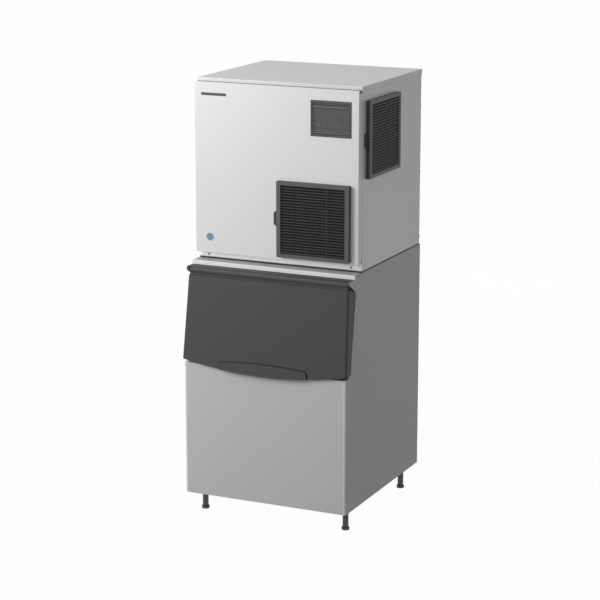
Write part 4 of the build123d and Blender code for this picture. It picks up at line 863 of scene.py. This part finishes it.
class ICE_OT_legs(bpy.types.Operator):
    """Softens the legs and turns their threaded levelling feet"""

    bl_idname = "ice.legs"
    bl_label = "Legs and feet"

    def execute(self, context):
        sizes = context.scene.ice_sizes
        refine("legs", sizes.moulded_edge)
        pad = sizes.foot_radius / MM
        top = sizes.foot_height / MM
        core = (sizes.stem_radius - sizes.thread_depth) / MM
        for node in FEET:
            low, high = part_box(node)
            middle = (low + high) / 2
            place = Matrix.Translation((middle.x, middle.y, low.z))
            end = (high.z - low.z) / MM
            outline = [
                (0, 0), (pad - 2.2, 0), (pad - 0.5, 0.9), (pad, 3), (pad, top - 3.5), (pad - 0.8, top - 1.4),
                (pad - 3, top), (core, top), (core, end - 0.8), (core - 0.8, end), (0, end),
            ]
            shape = turned(bmesh.new(), outline, place, sizes.segments)
            wind_thread(shape, sizes.stem_radius, (top + 0.3) * MM, (end - 1) * MM, place, sizes)
            stand_in(node, shape)
        return {"FINISHED"}


class ICE_OT_bin_door(bpy.types.Operator):
    """Softens the moulded door and its hinge bushes"""

    bl_idname = "ice.bin_door"
    bl_label = "Bin door"

    def execute(self, context):
        for node in DOOR_PARTS:
            refine(node, context.scene.ice_sizes.moulded_edge)
        return {"FINISHED"}


class ICE_OT_grilles(bpy.types.Operator):
    """Softens both louvred grilles and their filters, and stretches the filters' nets"""

    bl_idname = "ice.grilles"
    bl_label = "Air grilles and filters"

    def execute(self, context):
        sizes = context.scene.ice_sizes
        for node in ("front_grille", "side_grille", "front_filter", "side_filter"):
            refine(node, sizes.moulded_edge / 2)
        self.add_net("front_filter", "front_grille", X, sizes)
        self.add_net("side_filter", "side_grille", Y, sizes)
        return {"FINISHED"}

    def add_net(self, node, grille, across, sizes):
        """A net of crossed wires in the middle of a filter, moulded into its frame."""
        side_frame, end_frame, overlap = metres(17, 14, 0.05)
        deep = Y if across == X else X
        low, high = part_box(grille)
        filter_low, filter_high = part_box(node)
        low[across] += side_frame
        high[across] -= side_frame
        low.z += end_frame
        high.z -= end_frame
        middle = (filter_low[deep] + filter_high[deep]) / 2
        shape = bmesh.new()
        for step, near in ((Z, middle - sizes.net_wire), (across, middle)):
            count = int((high[step] - low[step]) / sizes.net_pitch)
            for number in range(count + 1):
                start = low.copy()
                end = high.copy()
                start[step] += number * sizes.net_pitch
                end[step] = start[step] + sizes.net_wire
                start[deep] = near - overlap
                end[deep] = near + sizes.net_wire + overlap
                bar(shape, start, end)
        add_piece(node + "_net", shape, "filter", NODE_BODY[node])


class ICE_OT_control_window(bpy.types.Operator):
    """Builds the control window's grooved bezel, its cover's ridges and the marks on and behind it"""

    bl_idname = "ice.control_window"
    bl_label = "Control window"

    def execute(self, context):
        sizes = context.scene.ice_sizes
        self.add_bezel(sizes)
        for node in ("control_panel", "power_switch", "switch_frame", "control_cover"):
            refine(node, sizes.fine_edge)
        self.add_ridges(sizes)
        self.add_notch()
        self.add_lenses(sizes)
        return {"FINISHED"}

    def add_bezel(self, sizes):
        """The bezel with a groove all round its rim."""
        low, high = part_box("control_bezel")
        outer, width, depth = metres(3.2, 2.6, 2.0)
        middle = (low + high) / 2
        stretch = Matrix.Diagonal((high.x - low.x - 2 * outer, high.z - low.z - 2 * outer, 1.0, 1.0))
        place = facing(FORWARDS, (middle.x, low.y + depth, middle.z))
        groove = bmesh.new()
        bmesh.ops.create_grid(groove, x_segments=1, y_segments=1, size=0.5, matrix=stretch)
        field = groove.faces[:]
        bmesh.ops.inset_region(groove, faces=field, thickness=width, use_boundary=True, use_even_offset=True)
        bmesh.ops.delete(groove, geom=field, context="FACES")
        thicken(groove, 2 * depth, place)
        refine("control_bezel", sizes.fine_edge, shape=cut_away(merged("control_bezel"), groove))

    def add_ridges(self, sizes):
        """Ridges moulded into the cover's front, and near-black bands on it that paint the shade along the
        bezel's edges and beside the ridges.
        """
        low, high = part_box("control_cover")
        rim, left_band, right_band, sunk = metres(0.6, 7.5, 6.5, 0.3)
        left = low.x + left_band
        right = high.x - right_band
        ridges = bmesh.new()
        near = COVER_FRONT - sunk
        far = COVER_FRONT + sunk
        for bottom, height, proud in (
            (high.z - 18.5 * MM, 2.6, 0.9), (low.z + 4.8 * MM, 2.8, 0.9), (low.z + 13.0 * MM, 1.6, 0.5),
        ):
            bar(ridges, (left, COVER_FRONT - proud * MM, bottom), (right, far, bottom + height * MM))
        round_edges(ridges, sizes.fine_edge)
        add_piece("cover_ridges", ridges, "ridge", "cover")
        # Painted shade: near-black bars along the cover's sides and beside the ridges
        shade_bands = bmesh.new()
        for start, end in ((low.x + rim, left), (right, high.x - rim)):
            bar(shade_bands, (start, near, low.z + rim), (end, far, high.z - rim))
        for bottom, height in (
            (high.z - 10.5 * MM, 4.0), (high.z - 23.5 * MM, 2.5), (low.z + rim, 3.4), (low.z + 9.0 * MM, 3.0),
        ):
            bar(shade_bands, (left, near, bottom), (right, far, bottom + height * MM))
        add_piece("cover_bands", shade_bands, "filter", "cover")

    def add_notch(self):
        """A near-black triangle on the bezel below the cover that paints the shade of a small finger notch.
        """
        radius, thickness, x, sunk, rise = metres(6, 1, 230, 0.6, 7)
        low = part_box("control_bezel")[0]
        notch = bmesh.new()
        bmesh.ops.create_circle(notch, cap_ends=True, segments=3, radius=radius)
        place = facing(FORWARDS, (x, low.y + sunk, low.z + rise))
        thicken(notch, thickness, place @ Matrix.Rotation(math.pi, 4, "Z"))
        add_piece("bezel_notch", notch, "filter")

    def add_lenses(self, sizes):
        """Plain upright lenses on the cover and two bare bars on the control panel behind it."""
        upright = Matrix.Diagonal((1.0, 2.4, 1.0, 1.0))
        outline = [(0, -0.2), (2.0, -0.2), (2.0, 0.3), (1.4, 0.7), (0, 0.8)]
        lenses = bmesh.new()
        for x, z in ((199.1, 1735.4), (228.7, 1738.7), (289.3, 1737.8)):
            place = facing(FORWARDS, (x * MM, COVER_FRONT, z * MM))
            turned(lenses, outline, place @ upright, sizes.segments)
        add_piece("cover_lenses", lenses, "ridge", "cover")
        left, right, half, proud, sunk = metres(244, 256, 1.6, 0.6, 0.2)
        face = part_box("control_panel")[0].y
        bars = bmesh.new()
        for z in metres(1768.7, 1785.8):
            bar(bars, (left, face - proud, z - half), (right, face + sunk, z + half))
        round_edges(bars, sizes.fine_edge)
        add_piece("panel_bars", bars, "ridge")


class ICE_OT_water_fittings(bpy.types.Operator):
    """Turns the water fittings, the drains and the cable gland"""

    bl_idname = "ice.water_fittings"
    bl_label = "Fittings"

    def execute(self, context):
        sizes = context.scene.ice_sizes
        bore, radius, inner_end, outer_end = 8, 13, -21.2, 20
        root = [(bore, inner_end), (radius, inner_end), (radius, 0), (20, 0), (20, 3.2), (19.2, 4)]
        inlet = [*root, (12.4, 4), (12.4, 19.4), (11.8, outer_end), (bore, outer_end)]
        drain = [*root, (11.6, 4), (11.6, 7), *self.barbs(radius, 7, 19.5), (bore, outer_end)]
        gland = [
            (6, -11.2), (11, -11.2), (11, 0), (18, 0), (18, 3), (17, 4), (11, 4), (11, 6), (10.2, 6.4),
            (10.2, 8.6), (11, 9), (11, 15), (9.5, 18.6), (7.5, outer_end), (6, outer_end),
        ]
        for node, outline in (("water_inlet", inlet), ("machine_drain", drain), ("cable_gland", gland)):
            place = self.rear_place(node)
            shape = turned(bmesh.new(), outline, place, sizes.segments, ring=True)
            if node == "water_inlet":
                thread_low, thread_high = metres(5, 19)
                wind_thread(shape, radius * MM, thread_low, thread_high, place, sizes)
            stand_in(node, shape)
        low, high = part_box("bin_drain")
        middle = (low + high) / 2
        place = Matrix.Translation((middle.x, middle.y, low.z))
        top = (high.z - low.z) / MM
        shoulder = 28
        neck = shoulder - 6
        barbs = [(reach, neck - height) for reach, height in self.barbs(11, 0, 21.5)]
        outline = [
            (bore, 0), *barbs[::-1], (9.8, neck), (9.8, shoulder), (radius, shoulder), (radius, top - 4),
            (20, top - 4), (20, top - 0.8), (19.2, top), (bore, top),
        ]
        stand_in("bin_drain", turned(bmesh.new(), outline, place, sizes.segments, ring=True))
        return {"FINISHED"}

    def rear_place(self, node):
        """On a fitting's axis at the rear panel's outer face, looking backwards."""
        low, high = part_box(node)
        middle = (low + high) / 2
        return facing(BACKWARDS, (middle.x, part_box("rear_panel")[1].y, middle.z))

    def barbs(self, radius, low, high):
        """Three hose barbs between two heights, sharp edges towards the low one."""
        count = 3
        pitch = (high - low) / count
        points = []
        for number in range(count):
            start = low + number * pitch
            points += [(radius, start + 0.1), (radius, start + 0.8), (radius - 1.5, start + pitch)]
        return points


class ICE_OT_machinery(bpy.types.Operator):
    """Softens what works inside and adds the condenser's fins and the compressor's weld"""

    bl_idname = "ice.machinery"
    bl_label = "Machinery"

    def execute(self, context):
        sizes = context.scene.ice_sizes
        for node in ("gear_motor", "lower_housing", "extruding_head", "cutter", "compressor", "evaporator"):
            refine(node, sizes.cast_edge)
        for node in ("reservoir", "reservoir_lid", "ice_spout", "ice_chute", "water_valve", "water_float"):
            refine(node, sizes.moulded_edge)
        for node in ("fan_blade", "fan_motor", "bin_control_flap", "compressor_mounts", "seat_gasket"):
            refine(node, sizes.fine_edge)
        self.add_fins(sizes)
        self.add_weld(sizes)
        return {"FINISHED"}

    def add_fins(self, sizes):
        """Thin upright fins across both faces of the condenser."""
        low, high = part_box("fan_shroud")
        face_low, face_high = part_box("condenser")
        margin, fin_height, proud = metres(3, 293, 0.2)
        shape = bmesh.new()
        x = low.x + margin
        bottom = high.z - fin_height
        top = high.z - margin
        while x < high.x - margin:
            for start in (face_low.y - proud, face_high.y - sizes.fin_depth):
                bar(shape, (x, start, bottom), (x + sizes.fin_thickness, start + sizes.fin_depth, top))
            x += sizes.fin_pitch
        add_piece("condenser_fins", shape, "alloy")

    def add_weld(self, sizes):
        """The raised weld round the compressor's shell."""
        low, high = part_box("compressor")
        middle = (low + high) / 2
        radius = 86.0
        height = 120 * MM
        place = Matrix.Translation((middle.x, middle.y, low.z + height))
        outline = [
            (radius - 1, -3), (radius + 0.8, -2.6), (radius + 1.6, 0), (radius + 0.8, 2.6), (radius - 1, 3),
        ]
        shape = turned(bmesh.new(), outline, place, 2 * sizes.segments, ring=True)
        add_piece("compressor_weld", shape, "enamel")


FILM_WIDTH = 36.0
LAMPS = (
    ("key", (-2.8, -2.8, 3.0), (2.6, 2.6)),
    ("fill", (1.2, -4.8, 2.2), (2.0, 2.0)),
    ("top", (-1.8, 2.0, 5.4), (3.0, 3.0)),
    ("side", (3.2, -1.2, 3.6), (1.0, 1.0)),
    ("back", (-0.8, 5.0, 1.1), (2.0, 1.4)),
)


class ICE_OT_stage(bpy.types.Operator):
    """Sets the floor, the lamps and the camera"""

    bl_idname = "ice.stage"
    bl_label = "Stage"

    def execute(self, context):
        stage = context.scene.ice_stage
        add_floor(context)
        set_room(context, stage.room)
        middle = (cad_box[0] + cad_box[1]) / 2
        for name, place, size in LAMPS:
            add_lamp(context, name + "_lamp", place, middle, size, getattr(stage, name + "_power"))
        add_camera(context, stage)
        return {"FINISHED"}


def add_floor(context):
    """A pale floor that looks white and keeps the machine's shadow."""
    half_size = 60.0
    whiteness = 0.985
    finish = Finish.material("floor_finish")
    seen = finish.seen()
    tone = finish.blend(finish.noise(0.4), (0.25, 0.25, 0.25), (0.27, 0.27, 0.27))
    plain = finish.node("BsdfDiffuse", {"Color": tone})
    white = finish.node("Emission", {"Color": (*WHITE, 1.0), "Strength": 1.0})
    shape = bmesh.new()
    bmesh.ops.create_grid(shape, x_segments=4, y_segments=4, size=half_size)
    mesh = as_mesh(shape, "floor")
    mixed = finish.node("MixShader", {0: whiteness * seen, 1: plain, 2: white})
    mesh.materials.append(finish.end(mixed))
    floor = bpy.data.objects.new("floor", mesh)
    context.scene.collection.objects.link(floor)


def set_room(context, strength):
    """Even light from all round, white where the camera or a reflection sees it."""
    room = Finish(bpy.data.worlds.new("room"), "ShaderNodeOutputWorld")
    dim = room.node("Background", {"Color": (*WHITE, 1.0), "Strength": strength})
    white = room.node("Background", {"Color": (*WHITE, 1.0), "Strength": 1.0})
    context.scene.world = room.end(room.node("MixShader", {0: room.seen(), 1: dim, 2: white}))


def add_lamp(context, name, place, target, size, power):
    """A soft lamp that faces a target."""
    lamp = bpy.data.lights.new(name, "AREA")
    lamp.shape = "RECTANGLE"
    lamp.size, lamp.size_y = size
    lamp.energy = power
    holder = bpy.data.objects.new(name, lamp)
    holder.location = place
    holder.rotation_euler = (target - Vector(place)).to_track_quat("-Z", "Y").to_euler()
    context.scene.collection.objects.link(holder)


def add_camera(context, stage):
    """The camera at the photograph's viewing angle."""
    lens = bpy.data.cameras.new("camera")
    lens.sensor_width = FILM_WIDTH
    lens.lens = stage.lens
    holder = bpy.data.objects.new("camera", lens)
    holder.location = stage.place
    holder.rotation_euler = (math.pi / 2 - stage.pitch, 0.0, stage.azimuth)
    context.scene.collection.objects.link(holder)
    context.scene.camera = holder


class ICE_PT_sidebar(bpy.types.Panel):
    """Lists the machine's operators and settings"""

    bl_idname = "ICE_PT_sidebar"
    bl_label = "Granular ice machine"
    bl_space_type = "VIEW_3D"
    bl_region_type = "UI"
    bl_category = "Ice machine"

    def draw(self, context):
        for operator in OPERATORS:
            self.layout.operator(operator.bl_idname)
        for settings in (context.scene.ice_sizes, context.scene.ice_colours, context.scene.ice_stage):
            box = self.layout.box()
            for name in settings.__annotations__:
                box.prop(settings, name)


SETTINGS = {"ice_colours": MachineColours, "ice_sizes": MachineSizes, "ice_stage": MachineStage}
OPERATORS = (
    ICE_OT_finishes, ICE_OT_steel_panels, ICE_OT_screws, ICE_OT_front_marks, ICE_OT_bin_body, ICE_OT_legs,
    ICE_OT_bin_door, ICE_OT_grilles, ICE_OT_control_window, ICE_OT_water_fittings, ICE_OT_machinery,
    ICE_OT_stage,
)


def register():
    for group in SETTINGS.values():
        bpy.utils.register_class(group)
    for name, group in SETTINGS.items():
        setattr(bpy.types.Scene, name, PointerProperty(type=group))
    for operator in OPERATORS:
        bpy.utils.register_class(operator)
    bpy.utils.register_class(ICE_PT_sidebar)


def unregister():
    bpy.utils.unregister_class(ICE_PT_sidebar)
    for operator in reversed(OPERATORS):
        bpy.utils.unregister_class(operator)
    for name in SETTINGS:
        delattr(bpy.types.Scene, name)
    for group in reversed(SETTINGS.values()):
        bpy.utils.unregister_class(group)


def main():
    """Finishes the machine and sets the stage."""
    register()
    bpy.context.scene.view_settings.view_transform = "Standard"
    for operator in OPERATORS:
        group, name = operator.bl_idname.split(".")
        getattr(getattr(bpy.ops, group), name)()


if __name__ == "__main__":
    main()
